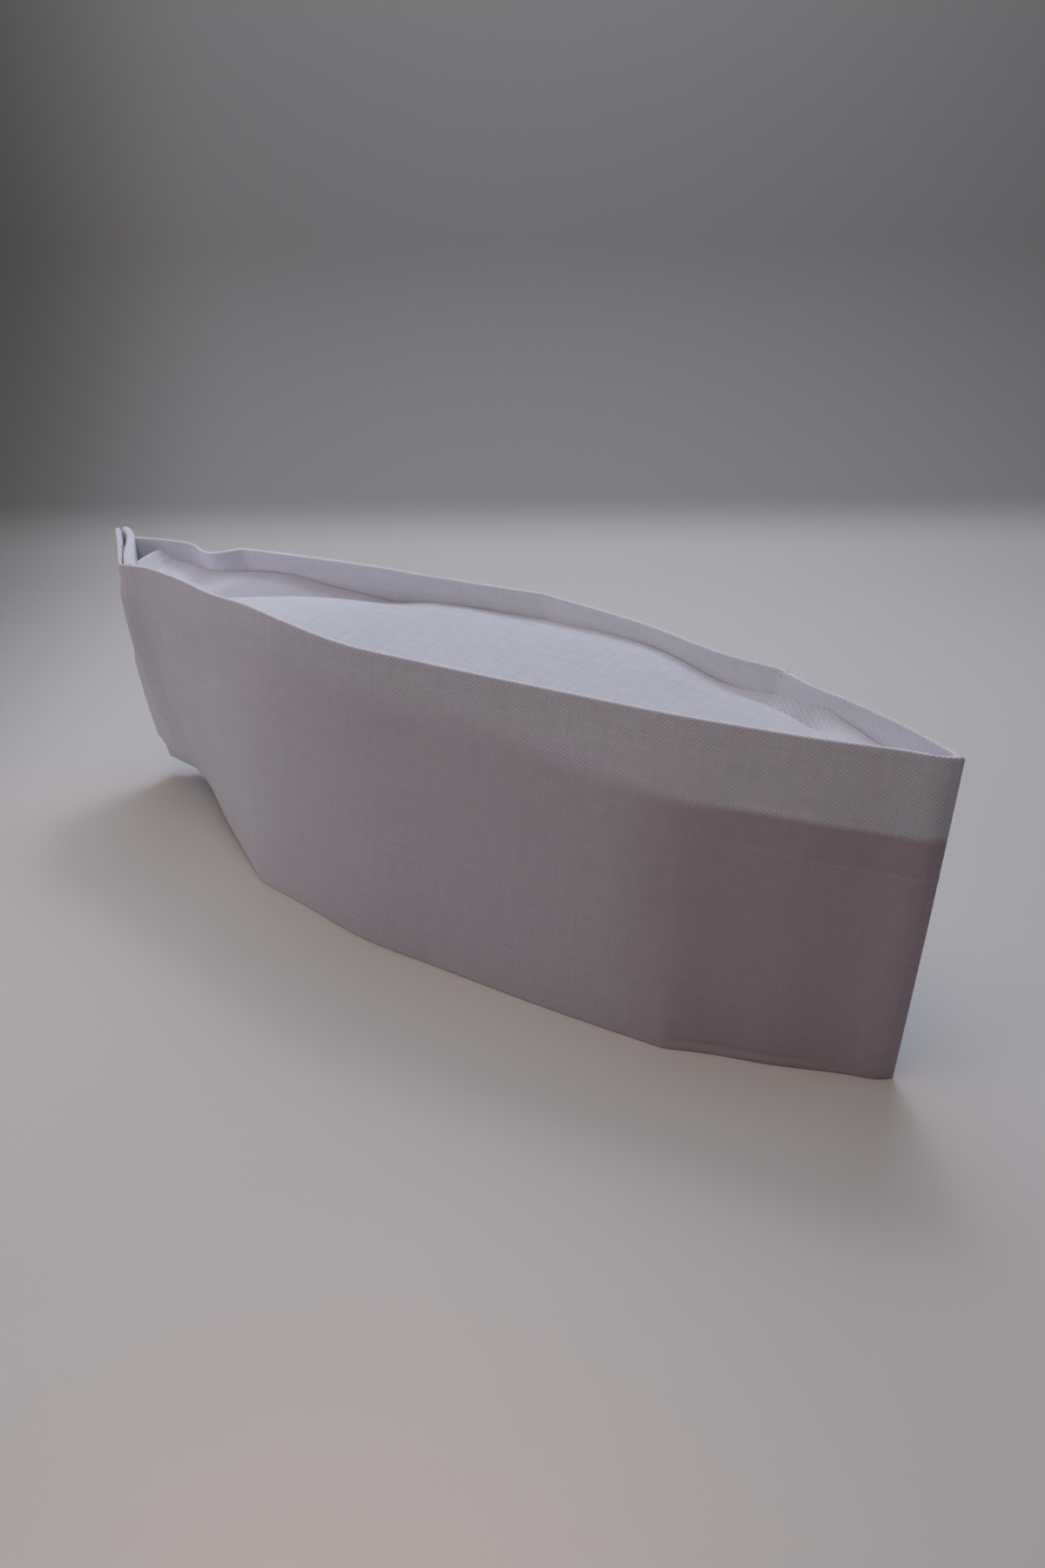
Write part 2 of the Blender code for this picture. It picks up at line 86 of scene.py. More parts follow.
FAR_SIDE = (
    Section("back end at the tab", -127.4, -3.0, 94.8, -128.7, -0.8, -130.7, 9.7, 7.2, ""),
    Section("back run", -120.4, -0.3, 94.8, -121.0, 3.9, -121.9, 10.7, 5.8, ""),
    Section("before the dent", -107.4, 2.9, 94.6, -107.7, 8.9, -108.1, 12.5, 4.4, ""),
    Section("bottom of the dent", -97.4, 1.0, 94.2, -96.9, 11.1, -96.6, 14.9, 3.4, ""),
    Section("edge of the dent", -91.0, 8.7, 94.6, -90.4, 14.7, -89.9, 16.8, 2.8, "rim"),
    Section("back quarter", -72.4, 13.6, 94.6, -72.0, 19.7, -71.4, 21.7, 1.3, ""),
    Section("swell", -48.4, 19.1, 94.6, -48.1, 25.2, -47.9, 26.9, 0.0, ""),
    Section("before the widest", -24.4, 22.9, 94.6, -24.4, 28.9, -24.4, 30.5, 0.0, ""),
    Section("widest, with a soft kink", 10.1, 29.6, 94.6, 9.6, 32.9, 9.1, 32.7, 0.0, "rim"),
    Section("front quarter", 44.2, 26.6, 94.6, 43.9, 29.7, 43.6, 29.7, 0.0, ""),
    Section("before the small kink", 76.6, 20.5, 94.6, 76.4, 23.5, 76.1, 24.1, 0.0, ""),
    Section("small kink", 86.9, 20.7, 94.6, 86.6, 21.7, 86.1, 21.5, 0.0, "rim"),
    Section("taper", 94.2, 17.2, 94.6, 93.9, 18.9, 93.6, 19.1, 0.0, ""),
    Section("narrow front", 113.2, 11.7, 94.6, 112.9, 12.7, 112.6, 12.5, 0.0, ""),
    Section("front end", 132.2, 3.9, 94.6, 131.6, 4.1, 130.9, 3.9, 0.0, ""),
    Section("front fold", 139.2, 0.1, 94.6, 138.6, -0.1, 137.6, -0.3, 0.0, ""),
)
print("wall sections:", len(NEAR_SIDE), "near,", len(FAR_SIDE), "far")

# %% [markdown]
# The crown is one folded sheet, so its rows are cross-sections instead: a crest on the main panel, the
# sharp ridge where the panel folds under, the valley behind the ridge, and the seam at the far wall.

# %% The sections of the crown
CrownSection = namedtuple(
    "CrownSection", "x right_z crest_y crest_z ridge_y ridge_z valley_y valley_z left_z tab_room"
)

CROWN = (
    CrownSection(-123.4, 77.0, -5.4, 77.2, -4.8, 77.4, -4.2, 77.6, 77.8, 4.0),
    CrownSection(-122.7, 84.4, -6.6, 84.8, -5.7, 85.2, -4.9, 85.4, 85.6, 4.0),
    CrownSection(-121.0, 88.2, -7.5, 89.0, -5.9, 89.4, -4.3, 89.7, 89.9, 3.8),
    CrownSection(-114.9, 86.8, -10.1, 87.0, -6.7, 87.0, -3.5, 87.2, 88.1, 3.8),
    CrownSection(-106.4, 86.0, -13.3, 85.6, -8.7, 85.3, -3.7, 85.6, 87.3, 2.4),
    CrownSection(-96.8, 86.2, -14.2, 85.6, -9.2, 84.8, -4.7, 84.9, 87.8, 0.0),
    CrownSection(-90.4, 86.2, -15.1, 86.1, -11.7, 85.6, -6.7, 84.1, 86.8, 0.0),
    CrownSection(-85.4, 86.3, -16.2, 86.6, -13.7, 86.4, -8.7, 83.6, 87.2, 0.0),
    CrownSection(-74.4, 86.4, -15.7, 87.2, -7.1, 86.8, -3.5, 83.2, 87.6, 0.0),
    CrownSection(-61.4, 86.5, -13.7, 87.6, 2.3, 86.8, 5.7, 83.2, 85.6, 0.0),
    CrownSection(-49.4, 86.5, -9.7, 87.9, 10.3, 85.8, 13.1, 83.4, 84.4, 0.0),
    CrownSection(-41.4, 86.5, -6.7, 88.1, 14.3, 85.0, 16.7, 84.0, 83.6, 0.0),
    CrownSection(-26.4, 86.5, -3.7, 88.4, 13.3, 87.4, 17.8, 86.8, 85.8, 0.0),
    CrownSection(9.6, 86.5, -0.7, 88.6, 15.3, 87.8, 23.3, 87.2, 86.5, 0.0),
    CrownSection(33.6, 86.5, -0.7, 88.6, 13.3, 88.6, 20.3, 88.5, 88.2, 0.0),
    CrownSection(56.6, 86.5, -0.7, 88.3, 11.3, 88.4, 17.3, 88.4, 88.1, 0.0),
    CrownSection(70.6, 86.5, 0.3, 87.9, 10.8, 87.4, 16.7, 86.9, 86.4, 0.0),
    CrownSection(79.6, 86.5, 1.3, 87.4, 14.3, 86.8, 16.5, 85.9, 86.6, 0.0),
    CrownSection(88.6, 86.5, 1.3, 87.1, 12.9, 86.9, 14.9, 84.9, 87.6, 0.0),
    CrownSection(96.6, 86.5, 1.3, 86.9, 10.1, 86.8, 12.1, 85.2, 89.4, 0.0),
    CrownSection(101.2, 86.5, 1.3, 86.7, 7.9, 86.6, 9.7, 86.0, 90.2, 0.0),
    CrownSection(106.6, 86.4, 0.3, 86.2, 4.3, 86.5, 7.7, 87.3, 89.2, 0.0),
    CrownSection(116.6, 86.4, -0.2, 86.0, 1.9, 86.2, 4.1, 86.6, 87.4, 0.0),
    CrownSection(127.6, 86.6, 0.3, 86.4, 0.8, 86.4, 1.3, 86.4, 86.8, 0.0),
    CrownSection(132.6, 86.8, 0.2, 86.7, 0.4, 86.7, 0.6, 86.7, 86.9, 0.0),
)
print("crown sections:", len(CROWN))

# %% [markdown]
# ## From sections to a surface
#
# Pressed cloth runs in smooth curves and breaks only at its folds. A curve made of cubic pieces does both: it
# passes through every row, and a row that is marked as a fold simply gets a different slope on each side.

# %% A smooth curve with folds
def smooth_curve(places, values, creased):
    """A function that reads a smooth curve through points; a creased point stays a corner."""
    places = np.array(places, float)
    values = np.array(values, float)
    steps = np.diff(values) / np.diff(places)
    into = np.concatenate([steps[:1], steps])
    out = np.concatenate([steps, steps[-1:]])
    for i in range(1, len(values) - 1):
        if not creased[i]:
            before = places[i] - places[i - 1]
            after = places[i + 1] - places[i]
            into[i] = out[i] = (steps[i - 1] * after + steps[i] * before) / (before + after)

    def read(at):
        at = np.asarray(at, float)
        i = np.clip(np.searchsorted(places, at) - 1, 0, len(places) - 2)
        length = places[i + 1] - places[i]
        t = (at - places[i]) / length
        rise = values[i + 1] - values[i]
        start = out[i] * length
        end = into[i + 1] * length
        return values[i] + start * t + (3 * rise - 2 * start - end) * t**2 + (start + end - 2 * rise) * t**3

    return read


def smooth_step(low, high, value):
    """0 below low, 1 above high, and a soft rise between them."""
    t = np.clip((np.asarray(value, float) - low) / (high - low), 0.0, 1.0)
    return t * t * (3 - 2 * t)


# %% [markdown]
# A wall is read in two directions: a place along its rows, and a share of its height. A section bends
# only a little, so one quadratic through foot, waist and rim is enough.

# %% One side of the cap
class Side:
    """The outer face of a wall; inward is +1 where the hollow lies left of the path, else -1."""

    def __init__(self, table, inward):
        self.table = table
        self.inward = inward
        self.last = float(len(table) - 1)
        self.levels = []
        for level in ("foot", "waist", "rim"):
            x = np.array([getattr(row, level + "_x") for row in table])
            y = np.array([getattr(row, level + "_y") for row in table])
            creased = [level in row.fold for row in table]
            length = np.concatenate([[0.0], np.cumsum(np.hypot(np.diff(x), np.diff(y)))])
            curves = [smooth_curve(length, values, creased) for values in (x, y)]
            self.levels.append((length, *curves))
        self.rim_z = [row.rim_z for row in table]
        self.foot_z = [row.foot_z for row in table]

    def heights(self, places):
        rows = np.arange(len(self.table))
        return np.interp(places, rows, self.foot_z), np.interp(places, rows, self.rim_z)

    def plan(self, places, shares):
        """The outer face seen from above: one point for each place and share, which have one shape."""
        points = []
        rows = np.arange(len(self.table))
        for length, x_curve, y_curve in self.levels:
            at = np.interp(places, rows, length)
            points.append(np.stack([x_curve(at), y_curve(at)], axis=-1))
        s = np.asarray(shares, float)[..., None]
        foot, waist, rim = points
        return foot * (1 - 2 * s) * (1 - s) + waist * 4 * s * (1 - s) + rim * s * (2 * s - 1)

    def places(self, start, end, step):
        """Places from start to end that hit every row between them, no more than a step apart."""
        marks = [start] + [float(i) for i in range(int(start) + 1, math.ceil(end))] + [end]
        result = [marks[0]]
        for low, high in zip(marks, marks[1:]):
            length = np.linalg.norm(self.plan(high, 1.0) - self.plan(low, 1.0))
            parts = max(1, round(length / step))
            result += [low + (high - low) * (i + 1) / parts for i in range(parts)]
        return np.array(result)


NEAR = Side(NEAR_SIDE, 1.0)
FAR = Side(FAR_SIDE, -1.0)
print("near rim, mm:", np.round(NEAR.plan(np.array([0.0, 7.0, 15.0]), np.ones(3)), 1).tolist())

# %% [markdown]
# ## The small relief of pressed cloth
#
# A wall that follows its sections exactly looks like bent card. The real one also carries the edge of a
# hem that shows through, a rolled foot, thumb dents and faint creases. Each is one row: where it runs
# on the wall, how wide it is and how far it lifts the cloth.

# %% Creases and dents
Crease = namedtuple("Crease", "name x1 z1 x2 z2 width lift")

NEAR_CREASES = (
    Crease("second line of the hem", 95.0, 66.0, 139.0, 62.6, 0.8, 0.16),
    Crease("valley over the rolled foot", 83.5, 3.3, 118.0, 2.9, 0.8, -0.4),
    Crease("rolled foot", 83.5, 1.2, 130.0, 1.3, 1.2, 0.15),
    Crease("soft dent near the back", -84.0, 78.0, -76.0, 62.0, 11.0, -0.9),
    Crease("swelling before the middle", 2.0, 66.0, 6.0, 16.0, 15.0, 0.5),
    Crease("eased turn above the front kink", 82.6, 70.0, 82.6, 25.0, 11.0, -0.2),
    Crease("hollow at the left quarter", -44.0, 70.0, -40.0, 30.0, 13.0, -0.4),
    Crease("bulge of the end wall", -132.0, 56.0, -132.0, 12.0, 14.0, 2.1),
    Crease("full top of the corner fold", -112.5, 90.0, -113.5, 60.0, 5.0, 1.1),
    Crease("ridge of the corner fold", -114.0, 60.0, -117.0, 22.0, 5.0, 0.5),
)

FAR_CREASES = (
    Crease("swelling of the outside", -20.0, 60.0, -18.0, 20.0, 16.0, 0.5),
    Crease("hollow of the outside", 48.0, 70.0, 50.0, 24.0, 13.0, -0.5),
    Crease("crease under the small kink", 86.5, 94.0, 84.0, 62.0, 2.5, 0.25),
    Crease("crease under the soft kink", 10.0, 94.0, 8.0, 66.0, 3.0, 0.2),
)


CREASE_ENDS = 0.18
CREASE_LEFT_AT_ENDS = 0.25


def crease_relief(creases, x, z):
    """How far the creases lift the cloth at each point of a wall, in millimetres."""
    lift = np.zeros(np.broadcast(x, z).shape)
    for crease in creases:
        start = np.array([crease.x1, crease.z1])
        run = np.array([crease.x2, crease.z2]) - start
        share = np.clip(((x - start[0]) * run[0] + (z - start[1]) * run[1]) / run.dot(run), 0, 1)
        away = np.hypot(x - start[0] - run[0] * share, z - start[1] - run[1] * share)
        fade = smooth_step(0.0, CREASE_ENDS, share) * smooth_step(1.0, 1 - CREASE_ENDS, share)
        fade = CREASE_LEFT_AT_ENDS + (1 - CREASE_LEFT_AT_ENDS) * fade
        lift += crease.lift * np.exp(-((away / crease.width) ** 2)) * fade
    return lift


# %% [markdown]
# The hem is the strongest of them. Under the rim the cloth is doubled, so that strip leans back a
# little and catches the light, down to the hem's edge, where the surface drops to the single cloth.
# The edge is sharp near the front and melts into the wall towards the middle.

# %% The hem, and the painted shade below it
# The last column says how much painted shade darkens the single cloth below the hem; it grows towards the
# front.
HemSection = namedtuple("HemSection", "x drop lift step softness shows")

HEM = (
    HemSection(-120.0, 9.0, 0.0, 0.0, 7.0, 0.0),
    HemSection(-60.0, 9.0, 0.0, 0.0, 7.0, 0.1),
    HemSection(-5.0, 11.0, 0.25, 0.0, 7.0, 0.3),
    HemSection(30.0, 14.0, 0.6, 0.05, 6.0, 0.35),
    HemSection(63.0, 19.0, 1.0, 0.08, 3.8, 0.5),
    HemSection(84.0, 20.6, 1.2, 0.12, 1.8, 0.85),
    HemSection(98.0, 20.4, 1.2, 0.14, 1.0, 1.0),
    HemSection(115.0, 20.6, 1.2, 0.12, 1.0, 1.0),
    HemSection(133.0, 20.9, 1.1, 0.08, 1.4, 1.0),
    HemSection(136.2, 20.9, 0.95, 0.05, 1.4, 1.0),
    HemSection(138.8, 20.9, 0.0, 0.0, 1.4, 1.0),
)
HEM_FADES_OVER = 38.0
SECOND_LINE = ((95.0, 29.3), (105.0, 30.6), (118.0, 31.3), (139.0, 32.0))


def hem_at(x, what):
    """One column of the hem's table, read at a length x."""
    return np.interp(x, [row.x for row in HEM], [getattr(row, what) for row in HEM])


def past_hem(x, drop):
    """How far below the hem's edge a point lies, in widths of that edge."""
    return (drop - hem_at(x, "drop")) / hem_at(x, "softness")


def hem_relief(x, drop):
    """The doubled strip under the rim: it swells down to the hem's edge, steps in, and fades out."""
    edge = hem_at(x, "drop")
    lift = hem_at(x, "lift")
    single = smooth_step(-1.0, 1.0, past_hem(x, drop))
    above = lift * np.clip(drop / edge, 0, 1)
    below = (lift - hem_at(x, "step")) * (1 - smooth_step(0.0, HEM_FADES_OVER, drop - edge))
    return above * (1 - single) + below * single


print("hem at the front, mm:", float(hem_relief(120.0, 20.0)))

# %% [markdown]
# Starch also dries a little unevenly. Two layers of noise do for that: a slow one, a few centimetres
# long, and a faint quick one.

# %% The unevenness of starch
Swell = namedtuple("Swell", "length height seed amount")
SWELLS = (Swell(34.0, 46.0, 0.0, 0.35), Swell(9.0, 12.0, 7.0, 0.05))


def wander(x, z, seed):
    """How far the starch lifts the cloth at each point, in millimetres."""
    shape = np.broadcast(x, z).shape
    flat_x = np.broadcast_to(x, shape).ravel()
    flat_z = np.broadcast_to(z, shape).ravel()
    lift = np.zeros(len(flat_x))
    for swell in SWELLS:
        at = zip(flat_x / swell.length, flat_z / swell.height)
        lift += swell.amount * np.array([noise.noise(Vector((a, b, seed + swell.seed))) for a, b in at])
    return lift.reshape(shape)


print("starch at the middle, mm:", wander(np.array([0.0]), np.array([50.0]), 1.0).round(3).tolist())

# %% [markdown]
# ## Making a wall by folding a strip
#
# A real wall is one strip folded over its rim, so this mesh is made the same way. A flat grid is added
# with as many cells as the strip needs. Its rows climb the outer face, roll over the rim, go down the
# inner face and roll back under the foot, where the first and last row are merged. One strip, so the
# weave runs over the rim without a break.

# %% A flat strip and its place
def flat_strip(name, columns, rows):
    """A flat grid of cloth with that many columns and rows of points."""
    bpy.ops.object.select_all(action="DESELECT")
    bpy.ops.mesh.primitive_grid_add(x_subdivisions=columns - 1, y_subdivisions=rows - 1, size=2.0)
    strip = bpy.context.object
    strip.name = name
    strip.data.name = name
    return strip


def lay_strip(strip, points, along, up):
    """Move each point of the grid to its place, and write the cloth's own millimetres to the UV map."""
    columns, rows = points.shape[:2]
    mesh = strip.data
    flat = np.zeros(len(mesh.vertices) * 3)
    mesh.vertices.foreach_get("co", flat)
    flat = flat.reshape(-1, 3)
    column = np.rint((flat[:, 0] + 1) / 2 * (columns - 1)).astype(int)
    row = np.rint((flat[:, 1] + 1) / 2 * (rows - 1)).astype(int)
    mesh.vertices.foreach_set("co", (points[column, row] * MM).ravel())
    corner = np.zeros(len(mesh.loops), int)
    mesh.loops.foreach_get("vertex_index", corner)
    uv = np.stack([along[column, row][corner], up[column, row][corner]], axis=-1)
    mesh.uv_layers.active.data.foreach_set("uv", uv.ravel())
    mesh.uv_layers.active.name = "cloth_mm"
    mesh.update()
    return column, row


def note(strip, name, values):
    """Write one number for each point of a piece, for its material to read."""
    attribute = strip.data.attributes.new(name, "FLOAT", "POINT")
    attribute.data.foreach_set("value", np.asarray(values, float).ravel())


def run_up(points):
    """How far each point lies from the strip's first row, measured along the cloth."""
    steps = np.linalg.norm(np.diff(points, axis=1), axis=-1)
    return np.concatenate([np.zeros((len(points), 1)), np.cumsum(steps, axis=1)], axis=1)


# %% [markdown]
# The inner face is the outer one moved sideways. At a corner the two neighbouring runs share a mitre,
# as in a picture frame, so that the cloth keeps its thickness there.

# %% The inner face
def inset(points, distance, inward, beyond=None):
    """Move plan points (columns, rows, 2) sideways into the cap, with mitred corners."""
    run = points if beyond is None else np.concatenate([points, beyond[None]], axis=0)
    along = np.diff(run, axis=0)
    along = along / np.linalg.norm(along, axis=-1, keepdims=True)
    normals = np.stack([-along[..., 1], along[..., 0]], axis=-1) * inward
    count = len(points)
    before = normals[np.clip(np.arange(count) - 1, 0, None)]
    after = normals[np.clip(np.arange(count), None, len(normals) - 1)]
    mitre = (before + after) / (1 + (before * after).sum(-1, keepdims=True))
    return points + mitre * np.broadcast_to(distance, points.shape[:2])[..., None]


# %% [markdown]
# At the front the strip turns back on itself. Its fold is rounded with a quadratic curve between the
# two walls, and each wall takes one half of it, so the two pieces meet in the middle of the fold.

# %% The front fold
FOLD_ROUNDING = 1.0
FOLD_PLAIN_COLUMN = -12
MITRE_PLAIN_COLUMN = -14
MITRE_RUN = 2.0
MITRE_SLIDE = 8.0
BEYOND_FOLD = 0.35


def round_front(points, other):
    """Round the last points of a wall towards the first run of the other wall."""
    apex = points[-1]
    ours = points[FOLD_PLAIN_COLUMN] - apex
    ours = ours / np.linalg.norm(ours, axis=-1, keepdims=True)
    theirs = other - apex
    theirs = theirs / np.linalg.norm(theirs, axis=-1, keepdims=True)
    away = np.linalg.norm(points - apex, axis=-1)
    t = np.clip((1 - away / FOLD_ROUNDING) / 2, 0, 0.5)[..., None]
    start = apex + ours * FOLD_ROUNDING
    end = apex + theirs * FOLD_ROUNDING
    curve = (1 - t) ** 2 * start + 2 * t * (1 - t) * apex + t**2 * end
    return np.where((away < FOLD_ROUNDING)[..., None], curve, points)


def slide_to_mitre(points, face, thickness):
    """Spread the inner face's last columns between the mitre's corner and the plain wall."""
    away = np.linalg.norm(face - face[-1], axis=-1)
    along = face[MITRE_PLAIN_COLUMN] - face[-1]
    along = along / np.linalg.norm(along, axis=-1, keepdims=True)
    shrink = (MITRE_SLIDE - MITRE_RUN * thickness) / MITRE_SLIDE
    moved = points[-1] + along * (away * shrink)[..., None]
    return np.where((away < MITRE_SLIDE)[..., None], moved, points)


# %% [markdown]
# Now the strip itself. The rows are worked out once: how high they are, how far across the thickness,
# and how far they rise over the rim or dip under the foot.

# %% The rows of a folded strip
ROLL_CELLS = 6

RowBand = namedtuple("RowBand", "low high cells")
NEAR_ROWS = (
    RowBand(0.0, 0.05, 10),
    RowBand(0.05, 0.66, 48),
    RowBand(0.66, 0.71, 7),
    RowBand(0.71, 0.755, 4),
    RowBand(0.755, 0.79, 9),
    RowBand(0.79, 1.0, 17),
)
FAR_ROWS = (RowBand(0.0, 1.0, 82),)
INNER_ROWS = (RowBand(0.0, 1.0, 70),)


def strip_rows(bands):
    """The rows of a folded strip: share of the height, share across the thickness, and roll."""
    runs = [np.linspace(band.low, band.high, band.cells + 1)[1:] for band in bands]
    face = np.concatenate([[0.0]] + runs)
    count = len(face)
    turn = np.linspace(0.0, math.pi, ROLL_CELLS + 1)[1:-1]
    share = np.concatenate([face, np.ones(len(turn)), face[::-1], np.zeros(len(turn)), [0.0]])
    across = np.concatenate(
        [np.zeros(count), (1 - np.cos(turn)) / 2, np.ones(count), (1 + np.cos(turn)) / 2, [0.0]]
    )
    roll = np.concatenate([np.zeros(count), np.sin(turn), np.zeros(count), -np.sin(turn), [0.0]])
    return count, share, across, roll


print("rows of the near wall:", len(strip_rows(NEAR_ROWS)[1]))

# %% [markdown]
# Once the grid has its shape, its first and last row lie on each other and are merged. Its two open ends
# are then found as the edges with one face, filled, and cut into triangles that follow the cloth.

# %% Close and smooth a strip
MERGE_WITHIN = 0.000002
WALL_CREASE_ANGLE = 62


def close_strip(piece):
    """Merge the strip's first and last row, and close its two ends."""
    bpy.ops.object.mode_set(mode="EDIT")
    bpy.ops.mesh.select_mode(type="VERT")
    bpy.ops.mesh.select_all(action="SELECT")
    bpy.ops.mesh.remove_doubles(threshold=MERGE_WITHIN)
    bpy.ops.mesh.select_non_manifold(extend=False)
    bpy.ops.object.mode_set(mode="OBJECT")
    ends = [vertex.index for vertex in piece.data.vertices if vertex.select]
    middle = sum((piece.data.vertices[i].co.x for i in ends)) / len(ends)
    for at_front in (False, True):
        bpy.ops.object.mode_set(mode="EDIT")
        bpy.ops.mesh.select_all(action="DESELECT")
        bpy.ops.object.mode_set(mode="OBJECT")
        for i in ends:
            vertex = piece.data.vertices[i]
            vertex.select = (vertex.co.x > middle) == at_front
        bpy.ops.object.mode_set(mode="EDIT")
        bpy.ops.mesh.select_mode(type="VERT")
        bpy.ops.mesh.edge_face_add()
        bpy.ops.mesh.quads_convert_to_tris(quad_method="BEAUTY", ngon_method="BEAUTY")
    bpy.ops.mesh.select_all(action="SELECT")
    bpy.ops.mesh.normals_make_consistent(inside=False)
    bpy.ops.object.mode_set(mode="OBJECT")


def soften(piece, angle):
    """Shade a piece smoothly, apart from its sharp edges."""
    bpy.ops.object.select_all(action="DESELECT")
    piece.select_set(True)
    bpy.context.view_layer.objects.active = piece
    bpy.ops.object.shade_smooth_by_angle(angle=math.radians(angle))


# %% [markdown]
# The material has to know some things that only the shape can tell: how far a point is from the hem's
# edge, whether it faces the hollow, and how flat the iron has pressed the threads there. They are
# written to each point as plain numbers. Several of them only say where painted shade, painted light and
# painted highlights go.

# %% Notes for the material
WEAVE_AT_BACK = 0.12
PRESSED_FLAT = (-80.0, -20.0)
INSIDE_PRESSED = 0.5
# Towards the back end the inner faces get painted shade instead of painted light.
INSIDE_BACK = (-96.0, -112.0)
INSIDE_BACK_SHADE = 0.35
# How much of the painted highlight on the rolled rim the far wall gets.
FAR_RIM_HIGHLIGHT = 0.3


def crispness(x):
    """How crisp the weave is: the iron has pressed the threads flatter towards the back."""
    return WEAVE_AT_BACK + (1 - WEAVE_AT_BACK) * smooth_step(*PRESSED_FLAT, x)


def wall_notes(x, drop, across, roll, near, reaches_rim):
    """The numbers that a wall's material reads, for each point of the strip."""
    inside = np.broadcast_to(across[None, :], x.shape)
    at_back = smooth_step(*INSIDE_BACK, x)
    second = np.interp(x, *zip(*SECOND_LINE))
    # A painted highlight along the rolled rim.
    rim = np.clip(roll, 0, 1)[None, :] * crispness(x) * (1.0 if near else FAR_RIM_HIGHLIGHT)
    return {
        "past_hem_edge": past_hem(x, drop),
        "below_second_line": drop - second,
        # Painted shade for the near wall's single cloth below the hem.
        "painted_shade_through": hem_at(x, "shows") * (1 - inside) * near,
        # Painted light on the inner faces, for light that comes through the cloth from behind.
        "inside": inside * (1 - at_back),
        # Painted shade on the inner face towards the back end.
        "painted_shade_under": INSIDE_BACK_SHADE * inside * at_back,
        "crisp": crispness(x) * (1 - INSIDE_PRESSED * inside),
        "rim": rim * reaches_rim[:, None],
    }


# %% [markdown]
# Now a wall can be folded. Its outer face is read from the sections, its inner face is set in by the
# cloth's thickness, and the relief pushes both out or in together, so the cloth stays equally thick.

# %% Fold a strip into a wall
def wall_points(side, places, shares, thickness, relief, rows, other):
    """The plan and height of a wall's outer face, and all points of its strip, in millimetres."""
    count, share, across, roll = rows
    foot_z, rim_z = side.heights(places)
    radius = thickness / 2
    low = (shares[0] * (rim_z - foot_z) + radius) / (rim_z - foot_z)
    high = (shares[1] * (rim_z - foot_z) - radius) / (rim_z - foot_z)
    level = low[:, None] + (high - low)[:, None] * share[None, :]
    face = side.plan(np.repeat(places[:, None], len(share), axis=1), level)
    z = foot_z[:, None] + (rim_z - foot_z)[:, None] * level
    beyond = None
    if other is not None:
        beyond = other.plan(np.full(len(share), other.last - BEYOND_FOLD), level[-1])
    outer = face
    inner = inset(face, thickness[:, None], side.inward, beyond)
    if other is not None:
        outer = round_front(face, beyond)
        inner = slide_to_mitre(inner, face, thickness[-1])
    plan = outer + (inner - outer) * across[None, :, None]
    out = inset(face, 1.0, side.inward, beyond) - face
    plan = plan - out * relief(face[..., 0], z, rim_z[:, None])[..., None]
    height = z + roll[None, :] * radius[:, None]
    return face, z, np.concatenate([plan, height[..., None]], axis=-1)


def fold_wall(name, side, places, shares, thickness, relief, bands, other=None):
    """Fold a strip into a wall; shares gives the height of its foot and rim for each place."""
    rows = strip_rows(bands)
    count, share, across, roll = rows
    thickness = np.broadcast_to(thickness, places.shape)
    face, z, points = wall_points(side, places, shares, thickness, relief, rows, other)
    rim_run = np.linalg.norm(np.diff(face[:, count - 1], axis=0), axis=-1)
    along = np.concatenate([[0.0], np.cumsum(rim_run)])
    wall = flat_strip(name, len(places), len(share))
    column, row = lay_strip(wall, points, np.repeat(along[:, None], len(share), axis=1), run_up(points))
    drop = side.heights(places)[1][:, None] - z
    notes = wall_notes(face[..., 0], drop, across, roll, side is NEAR, shares[1] == 1.0)
    for label, values in notes.items():
        note(wall, label, values[column, row])
    close_strip(wall)
    soften(wall, WALL_CREASE_ANGLE)
    print(name, "faces:", len(wall.data.polygons), "length, mm:", round(float(along[-1]), 1))
    return wall


# %% [markdown]
# ## The two outer walls
#
# The near wall runs from the seam round the sharp corner to the front fold. The far wall starts at the
# tab and has the pinched dent near the back. Close to the front fold the columns stand closer together,
# because the cloth turns sharply there.

# %% The outer walls
OUTER_CLOTH = 1.15
SEAM_CLOTH = 2.1
SEAM_THINS_OVER = (0.2, 0.9)
WALL_STEP = 1.15
FRONT_STEP = 0.2
FRONT_RUN = 3.0


def wall_places(side, start, end):
    """Columns of a wall, with finer ones where it turns into the front fold."""
    plain = side.places(start, end, WALL_STEP)
    last_run = np.linalg.norm(side.plan(end, 1.0) - side.plan(end - 1.0, 1.0))
    fine_from = end - FRONT_RUN / last_run
    fine = np.linspace(fine_from, end, int(FRONT_RUN / FRONT_STEP) + 1)
    return np.concatenate([plain[plain < fine_from - 0.02], fine])


def full_height(places):
    return np.zeros(len(places)), np.ones(len(places))


EVEN_AT_RIM = (0.5, 6.0)
EVEN_AT_FRONT = (139.0, 131.0)
EVEN_AT_FOOT = (0.0, 4.0)
NEAR_SEED = 1.0
FAR_SEED = 4.0


def starch(x, z, rim_z, seed):
    """The starch's unevenness, which fades out towards the rim, the foot and the front fold."""
    fade = smooth_step(*EVEN_AT_RIM, rim_z - z) * smooth_step(*EVEN_AT_FRONT, x)
    return wander(x, z, seed) * fade * smooth_step(*EVEN_AT_FOOT, z)


def near_relief(x, z, rim_z):
    return crease_relief(NEAR_CREASES, x, z) + hem_relief(x, rim_z - z) + starch(x, z, rim_z, NEAR_SEED)


def far_relief(x, z, rim_z):
    creases = crease_relief(FAR_CREASES, x, z) * smooth_step(0.0, 3.0, rim_z - z)
    return creases + starch(x, z, rim_z, FAR_SEED)


def seam_cloth(places):
    """The cloth's thickness, which doubles at the back seam."""
    return OUTER_CLOTH + (SEAM_CLOTH - OUTER_CLOTH) * (1 - smooth_step(*SEAM_THINS_OVER, places))


